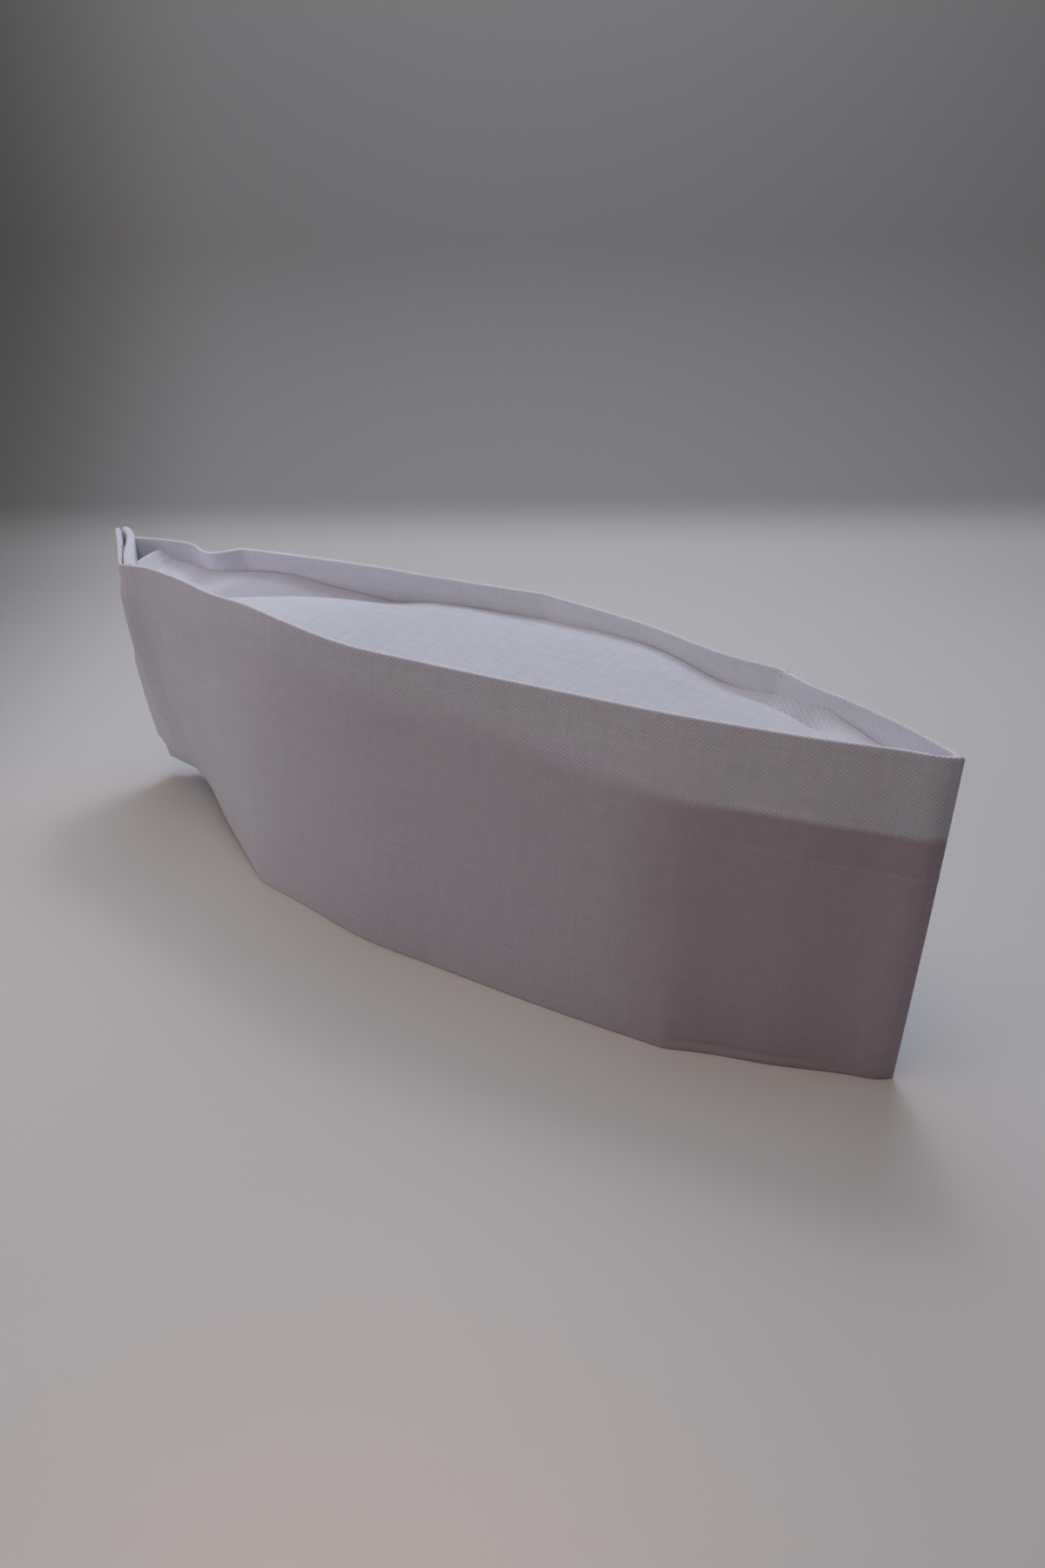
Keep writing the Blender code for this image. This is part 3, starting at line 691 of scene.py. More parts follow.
near_places = wall_places(NEAR, 0.0, NEAR.last)
near_heights = full_height(near_places)
near_cloth = seam_cloth(near_places)
near_wall = fold_wall("near_wall", NEAR, near_places, near_heights, near_cloth, near_relief, NEAR_ROWS, FAR)
far_places = wall_places(FAR, 0.0, FAR.last)
far_heights = full_height(far_places)
far_wall = fold_wall("far_wall", FAR, far_places, far_heights, OUTER_CLOTH, far_relief, FAR_ROWS, NEAR)

# %% [markdown]
# ## The crown
#
# The crown is a single sheet laid over the rows of its table. A grid is enough here too; its thickness
# comes from a Solidify modifier, which is applied at once. The folds of the ridge and the valley stay
# crisp because the columns of the grid run exactly along them.

# %% Lines across the crown
CROWN_CLOTH = 1.2
CROWN_STEP = 1.3
CROWN_CELLS = (20, 14, 4, 9)
CROWN_REACH = OUTER_CLOTH + 0.12
CROWN_CREASE_ANGLE = 14.0
RIDGE_COLUMN = sum(CROWN_CELLS[:2])
LINE_STEP = 2.0


def wall_line(side, distance):
    """The inset wall at the crown's height, as a function of the length x."""
    places = side.places(0.0, side.last, LINE_STEP)

    def read(x, z):
        foot_z, rim_z = side.heights(places)
        share = (z - foot_z) / (rim_z - foot_z)
        path = side.plan(places, share)[:, None, :]
        path = inset(path, distance, side.inward)[:, 0]
        order = np.argsort(path[:, 0])
        return float(np.interp(x, path[order, 0], path[order, 1]))

    return read


def crown_curves():
    places = [row.x for row in CROWN]
    plain = [False] * len(CROWN)
    names = CrownSection._fields[1:]
    return {name: smooth_curve(places, [getattr(row, name) for row in CROWN], plain) for name in names}


def crown_line(curves, x):
    """Points across the crown at a length x, from the near wall to the far wall."""
    row = {name: float(curve(x)) for name, curve in curves.items()}
    room = row["tab_room"]
    near_y = NEAR_LINE(x, row["right_z"]) + room
    far_y = FAR_LINE(x, row["left_z"])
    y = [near_y, row["crest_y"], row["ridge_y"], row["valley_y"], far_y]
    z = [row["right_z"], row["crest_z"], row["ridge_z"], row["valley_z"], row["left_z"]]
    swell = smooth_curve(y, z, [False, False, True, True, False])
    across = [y[0]]
    for low, high, cells in zip(y, y[1:], CROWN_CELLS):
        across += [low + (high - low) * (i + 1) / cells for i in range(cells)]
    return np.stack([np.full(len(across), x), across, swell(across)], axis=-1)


NEAR_LINE = wall_line(NEAR, CROWN_REACH)
FAR_LINE = wall_line(FAR, CROWN_REACH)
print("crown's width at the middle, mm:", round(FAR_LINE(0.0, 86.5) - NEAR_LINE(0.0, 86.5), 1))

# %% [markdown]
# The main panel also carries a few pressed marks: a thin crease from being folded flat, and the broad
# facets that meet near the ridge. Where the cloth turns under, behind the ridge and at the back end, a
# number is noted for the material, which paints shade there.

# %% The crown's own marks
CROWN_CREASES = (
    Crease("pressed crease", 6.8, 9.8, 33.0, -8.0, 0.9, 0.28),
    Crease("valley beside the crease", 4.6, 8.4, 30.8, -9.4, 1.5, -0.2),
    Crease("facet of the back", -70.0, -16.0, -30.0, 14.0, 6.0, 0.45),
    Crease("hollow of the middle", -30.0, -6.0, -8.0, 6.0, 12.0, -0.4),
    Crease("hollow at the front", 62.0, 8.0, 80.0, 6.0, 7.0, -0.4),
)


# How much painted shade falls on the facet behind the ridge and on the crown's back end.
FACET_SHADE = 0.95
BACK_END_SHADE = 0.3
CROWN_STARCH = 0.5
CROWN_STARCH_SEED = 11.0


def crown_relief(points):
    x = points[..., 0]
    y = points[..., 1]
    return crease_relief(CROWN_CREASES, x, y) + CROWN_STARCH * wander(x, y * 2, CROWN_STARCH_SEED)


FACET_FRONT = (-24.0, -34.0)
FACET_BACK = (-98.0, -85.0)
BACK_END = (-81.5, -85.0)
RIDGE_SOFTNESS = (-0.5, 1.0)


def painted_fold_shade(points):
    """How much painted shade the crown gets where its cloth turns under: the facet behind the ridge and the
    back end.
    """
    x = points[..., 0]
    column = np.arange(points.shape[1])[None, :]
    past_ridge = smooth_step(*RIDGE_SOFTNESS, column - RIDGE_COLUMN)
    facet = FACET_SHADE * past_ridge * smooth_step(*FACET_FRONT, x) * smooth_step(*FACET_BACK, x)
    back = BACK_END_SHADE * smooth_step(*BACK_END, x)
    return np.maximum(facet, back)


def lay_crown():
    """Lay the crown's sheet over its sections and give it its thickness."""
    curves = crown_curves()
    marks = [row.x for row in CROWN]
    lengths = [marks[0]]
    for low, high in zip(marks, marks[1:]):
        parts = max(1, round((high - low) / CROWN_STEP))
        lengths += [low + (high - low) * (i + 1) / parts for i in range(parts)]
    points = np.array([crown_line(curves, x) for x in lengths])
    points[..., 2] += crown_relief(points)
    crown = flat_strip("sunken_crown", points.shape[0], points.shape[1])
    column, row = lay_strip(crown, points, points[..., 0], points[..., 1])
    note(crown, "painted_shade_under", painted_fold_shade(points)[column, row])
    note(crown, "crisp", crispness(points[..., 0])[column, row])
    thicken = crown.modifiers.new("cloth", "SOLIDIFY")
    thicken.thickness = CROWN_CLOTH * MM
    thicken.offset = -1.0
    bpy.ops.object.modifier_apply(modifier=thicken.name)
    soften(crown, CROWN_CREASE_ANGLE)
    print("sunken_crown faces:", len(crown.data.polygons))
    return crown


sunken_crown = lay_crown()

# %% [markdown]
# ## The inner walls and the tab
#
# The inner walls are seen only from below, so they are folded from a coarser strip. Each reaches up to
# the crown that it carries.

# %% The inner walls
INNER_CLOTH = 1.1
INNER_GAP = 0.8
INNER_FROM = {"near": 1.85, "far": 1.35}
INNER_TO_FRONT = 1.75
INNER_STEP = 2.4
CROWN_SEAT_GAP = 0.2
CROWN_LEVEL = 0.9


class Moved(Side):
    """A side whose face lies a distance inside the real one."""

    def __init__(self, side, distance):
        self.side = side
        self.table = side.table
        self.inward = side.inward
        self.last = side.last
        self.distance = distance

    def heights(self, places):
        return self.side.heights(places)

    def plan(self, places, shares):
        points = self.side.plan(places, shares)
        if points.ndim < 3:
            return points
        return inset(points, self.distance, self.inward)


def plain_relief(x, z, rim_z):
    """No relief: the inner walls are pressed flat between the outer ones."""
    return np.zeros(np.broadcast(x, z).shape)


def inner_wall(name, side, start, edge_points):
    """A wall inside the outer one, up to the lowest of the crown's points over it."""
    places = side.places(start, side.last - INNER_TO_FRONT, INNER_STEP)
    foot_z, rim_z = side.heights(places)
    curves = crown_curves()
    rim_x = side.plan(places, np.full(len(places), CROWN_LEVEL))[:, 0]
    crown_z = [crown_line(curves, x)[edge_points, 2].min() for x in rim_x]
    top = (np.array(crown_z) - CROWN_CLOTH - CROWN_SEAT_GAP - foot_z) / (rim_z - foot_z)
    moved = Moved(side, OUTER_CLOTH + INNER_GAP)
    heights = (np.zeros(len(places)), top)
    return fold_wall(name, moved, places, heights, INNER_CLOTH, plain_relief, INNER_ROWS)


near_inner_wall = inner_wall("near_inner_wall", NEAR, INNER_FROM["near"], [0, 3])
far_inner_wall = inner_wall("far_inner_wall", FAR, INNER_FROM["far"], [-1, -4])

# %% [markdown]
# The tab is the seam allowance of the back. It turns round the end of the near wall and is pressed
# along its inside. A slot stays open between the two, and it pinches shut towards the corner.

# %% The tab
TAB_FROM = 0.02
TAB_TO = 1.0
TAB_COLUMNS = 60
TAB_LENGTH = 34.0
TAB_CLOTH = (1.9, 2.5)
TAB_LIP = 4.0
LIP_GROWS_UP = (0.1, 0.5)
LIP_AT_END = (0.8, 1.0)
SLOT = (0.25, 1.4)
SLOT_OPENS_UP = (0.0, 0.6)
SLOT_PINCHES = (0.1, 0.8)
TAB_NEXT_PLACE = 1.5
TAB_ROLL = 1.0
TAB_FOOT_LIFT = 0.6
TAB_RIM_RISE = 0.3
TAB_CURL = 0.22
TAB_CURL_GAP = 0.1
TAB_ROWS = (RowBand(0.0, 1.0, 70),)


def tab_faces(places, level):
    """The plan of the tab's face at the slot and of its face at the hollow."""
    grid = np.repeat(places[:, None], level.shape[1], axis=1)
    path = NEAR.plan(grid, level)
    beyond = NEAR.plan(np.full(level.shape[1], TAB_NEXT_PLACE), level[0])
    cloth = TAB_CLOTH[0] + (TAB_CLOTH[1] - TAB_CLOTH[0]) * level
    at_seam = SLOT[0] + (SLOT[1] - SLOT[0]) * smooth_step(*SLOT_OPENS_UP, level)
    slot = at_seam + (SLOT[0] - at_seam) * smooth_step(*SLOT_PINCHES, grid)
    curl = np.clip(1 - (grid - TAB_FROM) / TAB_CURL, 0, 1) ** 2
    far_gap = at_seam + (TAB_CURL_GAP - at_seam) * curl
    near_gap = slot + (TAB_CURL_GAP - slot) * curl
    near_face = inset(path, seam_cloth(grid) + near_gap, 1.0, beyond)
    far_face = inset(path, seam_cloth(grid) + far_gap + cloth, 1.0, beyond)
    run = path[-1] - path[-2]
    run = run / np.linalg.norm(run, axis=-1, keepdims=True)
    lip = TAB_LIP * smooth_step(*LIP_GROWS_UP, level[0])[:, None] * run
    return near_face, far_face + lip[None] * smooth_step(*LIP_AT_END, places)[:, None, None]


def fold_tab():
    """Fold the tab's strip between its near face and its far face."""
    places = np.linspace(TAB_FROM, TAB_TO, TAB_COLUMNS)
    count, share, across, roll = strip_rows(TAB_ROWS)
    near_face, far_face = tab_faces(places, np.repeat(share[None, :], len(places), axis=0))
    plan = near_face + (far_face - near_face) * across[None, :, None]
    foot_z, rim_z = NEAR.heights(places)
    low = foot_z + TAB_FOOT_LIFT + TAB_ROLL
    high = rim_z + TAB_RIM_RISE * (1 - places) - TAB_ROLL
    z = low[:, None] + (high - low)[:, None] * share[None, :] + roll[None, :] * TAB_ROLL
    points = np.concatenate([plan, z[..., None]], axis=-1)
    along = np.repeat(places[:, None] * TAB_LENGTH, len(share), axis=1)
    tab = flat_strip("seam_tab", len(places), len(share))
    column, row = lay_strip(tab, points, along, run_up(points))
    note(tab, "crisp", np.full(points.shape[:2], WEAVE_AT_BACK)[column, row])
    close_strip(tab)
    soften(tab, WALL_CREASE_ANGLE)
    print("seam_tab faces:", len(tab.data.polygons))
    return tab


seam_tab = fold_tab()

# %% [markdown]
# ## The weave
#
# The cotton is a plain weave, about 16 threads to the centimetre. Each thread passes over and under its
# neighbours, so the surface is a chequer of small pillows, some long one way and some the other. That
# can be written as two cosines, one for each direction. The yarn is twisted, so each pillow leans, and
# from a little way off the floats join into slanted lines, which are the cosines of the sum and of the
# difference. It is a node group, because every piece of the cap is cut from the same cloth.
#
# Node trees are long to write, so a few small helpers come first. Each adds one node and returns the
# socket that it puts out.

# %% Helpers for node groups
def group_socket(tree, name, kind, out=False, value=None):
    """Add a named socket to a node group."""
    socket = tree.interface.new_socket(name=name, in_out="OUTPUT" if out else "INPUT", socket_type=kind)
    if value is not None:
        socket.default_value = value
    return socket


def math_node(tree, operation, first, second=None, clamp=False):
    """A Math node; its inputs are numbers or sockets."""
    node = tree.nodes.new("ShaderNodeMath")
    node.operation = operation
    node.use_clamp = clamp
    for slot, value in ((0, first), (1, second)):
        if isinstance(value, (int, float)):
            node.inputs[slot].default_value = value
        elif value is not None:
            tree.links.new(value, node.inputs[slot])
    return node.outputs[0]


def map_range(tree, value, low, high, to_low, to_high):
    """A smooth Map Range node."""
    node = tree.nodes.new("ShaderNodeMapRange")
    node.interpolation_type = "SMOOTHSTEP"
    tree.links.new(value, node.inputs["Value"])
    for slot, number in zip(("From Min", "From Max", "To Min", "To Max"), (low, high, to_low, to_high)):
        node.inputs[slot].default_value = number
    return node.outputs[0]


def attribute(tree, name):
    """The number that was noted for each point of the piece; 0 where the piece has none."""
    node = tree.nodes.new("ShaderNodeAttribute")
    node.attribute_name = name
    return node.outputs["Fac"]


def noise_node(tree, vector, scale, detail, stretch=(1.0, 1.0, 1.0)):
    """A Noise texture on stretched coordinates."""
    mapping = tree.nodes.new("ShaderNodeMapping")
    mapping.inputs["Scale"].default_value = stretch
    tree.links.new(vector, mapping.inputs["Vector"])
    texture = tree.nodes.new("ShaderNodeTexNoise")
    texture.inputs["Scale"].default_value = scale
    texture.inputs["Detail"].default_value = detail
    tree.links.new(mapping.outputs[0], texture.inputs["Vector"])
    return texture.outputs["Fac"]


# %% [markdown]
# The group works in cloth millimetres, which the UV map holds, so one thread pair has its real size on
# every piece. A slow sway keeps the threads from running dead straight, and long thin noise along each
# direction makes some yarns thicker than others.

# %% The plain weave
WARP_PITCH = 0.62
WEFT_PITCH = 0.58
WOBBLE = 0.4
SWAY_SCALE = 0.12
YARN_STRETCH = {"X": (1.4, 0.05, 1.0), "Y": (0.05, 1.4, 1.0)}
YARN_RANGE = (0.7, 1.3)
PILLOW_ROUND = 0.4
PILLOW_LONG = 0.9
RISING_SLANT = 0.62
FALLING_SLANT = 0.38


def waves(tree, first, second, power_first, power_second):
    """Two cosines, each raised to a power and multiplied."""
    first = math_node(tree, "POWER", first, power_first)
    second = math_node(tree, "POWER", second, power_second)
    return math_node(tree, "MULTIPLY", first, second)


def make_weave():
    """Cloth millimetres in; pillow height, gaps, yarn thickness and the slanted floats out."""
    tree = bpy.data.node_groups.new("plain_weave", "ShaderNodeTree")
    group_socket(tree, "Cloth", "NodeSocketVector")
    group_socket(tree, "Warp Pitch", "NodeSocketFloat", value=WARP_PITCH)
    group_socket(tree, "Weft Pitch", "NodeSocketFloat", value=WEFT_PITCH)
    group_socket(tree, "Wobble", "NodeSocketFloat", value=WOBBLE)
    for name in ("Height", "Gap", "Yarn", "Float"):
        group_socket(tree, name, "NodeSocketFloat", out=True)
    ends = tree.nodes.new("NodeGroupInput")
    result = tree.nodes.new("NodeGroupOutput")
    cloth = ends.outputs["Cloth"]
    split = tree.nodes.new("ShaderNodeSeparateXYZ")
    tree.links.new(cloth, split.inputs[0])
    sway = math_node(tree, "SUBTRACT", noise_node(tree, cloth, SWAY_SCALE, 2.0), 0.5)
    shift = math_node(tree, "MULTIPLY", sway, ends.outputs["Wobble"])
    angles = []
    yarns = []
    for axis, pitch in (("X", "Warp Pitch"), ("Y", "Weft Pitch")):
        yarns.append(noise_node(tree, cloth, 1.0, 1.0, YARN_STRETCH[axis]))
        place = math_node(tree, "DIVIDE", split.outputs[axis], ends.outputs[pitch])
        angles.append(math_node(tree, "MULTIPLY", math_node(tree, "ADD", place, shift), math.pi))
    sides = [math_node(tree, "COSINE", angle) for angle in angles]
    over = math_node(tree, "GREATER_THAN", math_node(tree, "MULTIPLY", *sides), 0.0)
    first, second = [math_node(tree, "ABSOLUTE", side) for side in sides]
    blend = tree.nodes.new("ShaderNodeMix")
    tree.links.new(over, blend.inputs["Factor"])
    tree.links.new(waves(tree, first, second, PILLOW_ROUND, PILLOW_LONG), blend.inputs[2])
    tree.links.new(waves(tree, first, second, PILLOW_LONG, PILLOW_ROUND), blend.inputs[3])
    open_first = math_node(tree, "SUBTRACT", 1.0, first)
    open_second = math_node(tree, "SUBTRACT", 1.0, second)
    rising = math_node(tree, "COSINE", math_node(tree, "SUBTRACT", *angles))
    falling = math_node(tree, "COSINE", math_node(tree, "ADD", *angles))
    slant = math_node(
        tree,
        "ADD",
        math_node(tree, "MULTIPLY", rising, RISING_SLANT),
        math_node(tree, "MULTIPLY", falling, FALLING_SLANT),
    )
    yarn = map_range(tree, math_node(tree, "ADD", *yarns), *YARN_RANGE, 0.0, 1.0)
    tree.links.new(blend.outputs[0], result.inputs["Height"])
    tree.links.new(math_node(tree, "MULTIPLY", open_first, open_second), result.inputs["Gap"])
    tree.links.new(yarn, result.inputs["Yarn"])
    half = math_node(tree, "MULTIPLY", slant, 0.5)
    tree.links.new(math_node(tree, "ADD", half, 0.5), result.inputs["Float"])
    return tree


WEAVE = make_weave()
print("weave group:", [item.name for item in WEAVE.interface.items_tree])

# %% [markdown]
# ## The cotton
#
# White cloth is never one white. The gaps between the threads are darker, thick yarns are a little
# lighter than thin ones, and pressing leaves broad, faint patches. A few small marks are on it too: a
# thick place in a yarn and two flecks on the far rim. All of them only change the base colour.

# %% Colour mixing and the marks on the cloth
COTTON = (0.87, 0.875, 0.95)
# Painted shade on the single cloth below the near wall's hem, for the dark inside and the shade the wall
# stands in.
PAINTED_SHADE_TINT = (0.69, 0.57, 0.59)
# Painted shade where cloth turns under: the crown's facet and back end, and the inner faces at the back.
PAINTED_UNDER_SHADE_TINT = (0.74, 0.71, 0.74)
# Painted light on the inner faces, for light that comes through the cloth from behind.
INSIDE_PAINTED_LIGHT_TINT = (1.13, 1.14, 1.1)
# Painted highlight on the rolled rim, the hem's edge and the second line.
PAINTED_HIGHLIGHT_TINT = (1.12, 1.12, 1.08)

Mark = namedtuple("Mark", "name x y z half_x half_y half_z tint")
MARKS = (
    Mark("thick place in a yarn", 36.9, -28.6, 17.2, 2.4, 3.0, 0.35, (0.80, 0.78, 0.80)),
    Mark("brown fleck on the far rim", 89.6, 19.2, 94.6, 0.8, 0.8, 0.7, (0.55, 0.45, 0.40)),
    Mark("reddish dot on the far rim", 87.4, 19.0, 92.6, 0.5, 0.8, 0.5, (0.85, 0.60, 0.62)),
)


def mix_colour(tree, factor, first, second, mode="MIX"):
    """A colour Mix node; its colours are triples or sockets."""
    node = tree.nodes.new("ShaderNodeMix")
    node.data_type = "RGBA"
    node.blend_type = mode
    for slot, value in (("Factor", factor), (6, first), (7, second)):
        if isinstance(value, (int, float)):
            node.inputs[slot].default_value = value
        elif isinstance(value, tuple):
            node.inputs[slot].default_value = (*value, 1.0)
        else:
            tree.links.new(value, node.inputs[slot])
    return node.outputs[2]


def times(tree, colour, factor, tint):
    """The colour, tinted as far as the factor says."""
    return mix_colour(tree, 1.0, colour, mix_colour(tree, factor, (1.0, 1.0, 1.0), tint), "MULTIPLY")


def add_mark(tree, colour, place, mark):
    """Tint a small soft ellipsoid of the surface."""
    mapping = tree.nodes.new("ShaderNodeMapping")
    mapping.vector_type = "TEXTURE"
    mapping.inputs["Location"].default_value = (mark.x * MM, mark.y * MM, mark.z * MM)
    mapping.inputs["Scale"].default_value = (mark.half_x * MM, mark.half_y * MM, mark.half_z * MM)
    tree.links.new(place, mapping.inputs["Vector"])
    length = tree.nodes.new("ShaderNodeVectorMath")
    length.operation = "LENGTH"
    tree.links.new(mapping.outputs[0], length.inputs[0])
    return times(tree, colour, map_range(tree, length.outputs["Value"], 0.5, 1.0, 1.0, 0.0), mark.tint)


print("marks on the cloth:", [mark.name for mark in MARKS])

# %% [markdown]
# The single cloth under the hem is darkened with painted shade, for the dark inside that shows through it
# and for the shade that the near wall stands in. Its edge has a few painted highlight threads, and a
# second, fainter painted highlight line lies lower down at the front. The wall's points carry the distance
# to both lines, so the material can draw them sharper than the mesh could.

# %% The tone of the hem
# Where the painted highlights at the hem's edge and on the second line lie, and how strong they are.
SECOND_LINE_FRONT = (0.088, 0.098)
# How much the painted shade eases below the second line of the hem.
SECOND_LINE_SHADE_EASE = 0.05
SECOND_LINE_BRIGHT = 0.9
SECOND_LINE_BAND = (-0.55, -0.1, 0.1, 0.55)
HEM_EDGE_BAND = (-3.2, -2.0, -1.2, -0.4)
HEM_EDGE_BRIGHT = (0.7, 0.1)
BRIGHT_THREADS_FADE = (0.108, 0.128)


def product(tree, first, *others):
    """All the numbers multiplied."""
    for other in others:
        first = math_node(tree, "MULTIPLY", first, other)
    return first


def band(tree, value, rise_from, rise_to, fall_from, fall_to):
    """1 between two soft edges, and 0 outside them."""
    rise = map_range(tree, value, rise_from, rise_to, 0.0, 1.0)
    return product(tree, rise, map_range(tree, value, fall_from, fall_to, 1.0, 0.0))


def hem_tone(tree, place):
    """How much painted shade darkens the single cloth, and a mask of the painted highlights at the hem's edge
    and the second line.
    """
    past = attribute(tree, "past_hem_edge")
    below = attribute(tree, "below_second_line")
    shows = attribute(tree, "painted_shade_through")
    split = tree.nodes.new("ShaderNodeSeparateXYZ")
    tree.links.new(place, split.inputs[0])
    x = split.outputs["X"]
    near_front = product(tree, map_range(tree, x, *SECOND_LINE_FRONT, 0.0, 1.0), shows)
    lower = product(tree, map_range(tree, below, -0.4, 0.4, 0.0, SECOND_LINE_SHADE_EASE), near_front)
    single = product(tree, map_range(tree, past, -1.0, 1.0, 0.0, 1.0), shows)
    single_cloth_shade = product(tree, single, math_node(tree, "SUBTRACT", 1.0, lower))
    fade = map_range(tree, x, *BRIGHT_THREADS_FADE, *HEM_EDGE_BRIGHT)
    edge = product(tree, band(tree, past, *HEM_EDGE_BAND), near_front, fade)
    second = product(tree, band(tree, below, *SECOND_LINE_BAND), near_front, SECOND_LINE_BRIGHT)
    return single_cloth_shade, math_node(tree, "ADD", edge, second)


# %% [markdown]
# The colour is built up in thin layers, each a soft multiplication: yarn by yarn, patch by patch, then
# the shade between the threads, the painted highlights, the painted shade of the single cloth and of
# cloth that turns under, the painted light on the inner faces, and the marks.

# %% The colour of the cotton
THIN_YARN = 0.93
PATCH_SCALE = 26.0
PATCH_SHARE = 0.14
PATCH_TINT = (0.8, 0.8, 0.8)
FLOAT_TINT = (0.72, 0.72, 0.74)
GAP_SHARE = 0.5
GAP_TINT = (0.40, 0.40, 0.43)
DASHES = (0.2, 0.8, 0.35, 1.0)


def cotton_colour(tree, tint, place, weave, crisp):
    """The colour of the cloth, and a mask of where its threads form plain squares."""
    single_cloth_shade, painted_highlight = hem_tone(tree, place)
    squares = product(tree, crisp, math_node(tree, "SUBTRACT", 1.0, single_cloth_shade))
    base = tuple(c * t for c, t in zip(COTTON, tint))
    colour = mix_colour(tree, weave["Yarn"], tuple(c * THIN_YARN for c in base), base)
    patches = product(tree, noise_node(tree, place, PATCH_SCALE, 2.0), PATCH_SHARE)
    colour = times(tree, colour, patches, PATCH_TINT)
    sunk = math_node(tree, "SUBTRACT", 1.0, weave["Float"])
    colour = times(tree, colour, product(tree, sunk, crisp), FLOAT_TINT)
    colour = times(tree, colour, product(tree, weave["Gap"], squares, GAP_SHARE), GAP_TINT)
    # Painted highlight in dashes on the rim, the hem's edge and the second line.
    painted_highlight = math_node(tree, "ADD", painted_highlight, attribute(tree, "rim"))
    dashes = product(tree, painted_highlight, map_range(tree, weave["Float"], *DASHES))
    colour = times(tree, colour, dashes, PAINTED_HIGHLIGHT_TINT)
    # Painted shade: the single cloth below the near wall's hem is darkened.
    colour = times(tree, colour, single_cloth_shade, PAINTED_SHADE_TINT)
    # Painted shade where the cloth turns under.
    colour = times(tree, colour, attribute(tree, "painted_shade_under"), PAINTED_UNDER_SHADE_TINT)
    # Painted light on the inner faces.
    colour = times(tree, colour, attribute(tree, "inside"), INSIDE_PAINTED_LIGHT_TINT)
    for mark in MARKS:
        colour = add_mark(tree, colour, place, mark)
    return colour, squares


# %% [markdown]
# The material joins the weave to the shader. Colour, roughness and bump all read the same threads, so
# they agree. Cotton is matt, and its loose fibres catch a little light at the edges, which is what the
# sheen is for.

# %% A cotton material
CRISP_PATCHES = 0.35
CRISP_LEAST = 0.8
ROUGHNESS = 0.92
PILLOW_GLOSS = 0.14
THREAD_HEIGHT = 0.00012
PILLOW_SHARE = 0.7
FLOAT_SHARE = 0.5


def cotton(name, tint, weave_depth):
    """Starched white cotton for one piece, woven along its own cloth millimetres."""
    material = bpy.data.materials.new(name)
    material.use_nodes = True
    tree = material.node_tree
    shader = tree.nodes["Principled BSDF"]
    uv = tree.nodes.new("ShaderNodeUVMap")
    uv.uv_map = "cloth_mm"
    group = tree.nodes.new("ShaderNodeGroup")
    group.node_tree = WEAVE
    tree.links.new(uv.outputs[0], group.inputs["Cloth"])
    weave = group.outputs
    place = tree.nodes.new("ShaderNodeTexCoord").outputs["Object"]
    patches = noise_node(tree, uv.outputs[0], CRISP_PATCHES, 2.0)
    patches = map_range(tree, patches, 0.3, 0.7, CRISP_LEAST, 1.0)
    crisp = product(tree, attribute(tree, "crisp"), patches)
    colour, squares = cotton_colour(tree, tint, place, weave, crisp)
    tree.links.new(colour, shader.inputs["Base Color"])
    gloss = product(tree, weave["Height"], PILLOW_GLOSS)
    tree.links.new(math_node(tree, "SUBTRACT", ROUGHNESS, gloss), shader.inputs["Roughness"])
    bump = tree.nodes.new("ShaderNodeBump")
    bump.inputs["Strength"].default_value = weave_depth
    bump.inputs["Distance"].default_value = THREAD_HEIGHT
    pillows = product(tree, weave["Height"], squares, PILLOW_SHARE)
    floats = product(tree, weave["Float"], crisp, FLOAT_SHARE)
    tree.links.new(math_node(tree, "ADD", pillows, floats), bump.inputs["Height"])
    tree.links.new(bump.outputs[0], shader.inputs["Normal"])
    shader.inputs["Specular IOR Level"].default_value = 0.25
    shader.inputs["Sheen Weight"].default_value = 0.12
    shader.inputs["Sheen Roughness"].default_value = 0.5
    return material


OUTER_COTTON = cotton("outer_band_cotton", (1.0, 0.985, 1.0), 0.6)
INNER_COTTON = cotton("inner_band_cotton", (1.0, 0.99, 1.0), 0.5)
CROWN_COTTON = cotton("crown_cotton", (1.0, 1.0, 1.0), 0.4)
TAB_COTTON = cotton("seam_tab_cotton", (1.0, 1.0, 1.0), 0.5)
print("materials:", [item.name for item in (OUTER_COTTON, INNER_COTTON, CROWN_COTTON, TAB_COTTON)])

# %% [markdown]
# ## Dress the pieces
#
# Each piece gets its cloth, rides on the cap's one body and stands for its own solid. The walls and the
# crown are sheets, so the area of one side of each piece is printed too.

# %% Ride and replace
SHEETS = (
    (near_wall, OUTER_COTTON, "right_outer_band", "outer_band_cotton"),
    (far_wall, OUTER_COTTON, "left_outer_band", "outer_band_cotton"),
    (near_inner_wall, INNER_COTTON, "right_inner_band", "inner_band_cotton"),
    (far_inner_wall, INNER_COTTON, "left_inner_band", "inner_band_cotton"),
    (sunken_crown, CROWN_COTTON, "crown", "crown_cotton"),
    (seam_tab, TAB_COTTON, "back_seam_tab", "seam_tab_cotton"),
)

for piece, material, node, slot in SHEETS:
    piece.data.materials.clear()
    piece.data.materials.append(material)
    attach(piece, "root")
    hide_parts(node)
    area = sum(face.area for face in piece.data.polygons) / 2
    print(piece.name, "area of one side, m2:", round(area, 5))

# %% [markdown]
# ## Floor, light and camera
#
# The cap stands on a pale sweep: a floor that curves up into a backdrop. It is a plane whose far edge is
# spun a quarter turn and then extruded upwards. It is no part of the cap. Its paper is pale on the floor,
# and painted shade makes it greyer where it stands up and darker towards the far left.

# %% The sweep
FLOOR_PALE = (0.785, 0.772, 0.765)
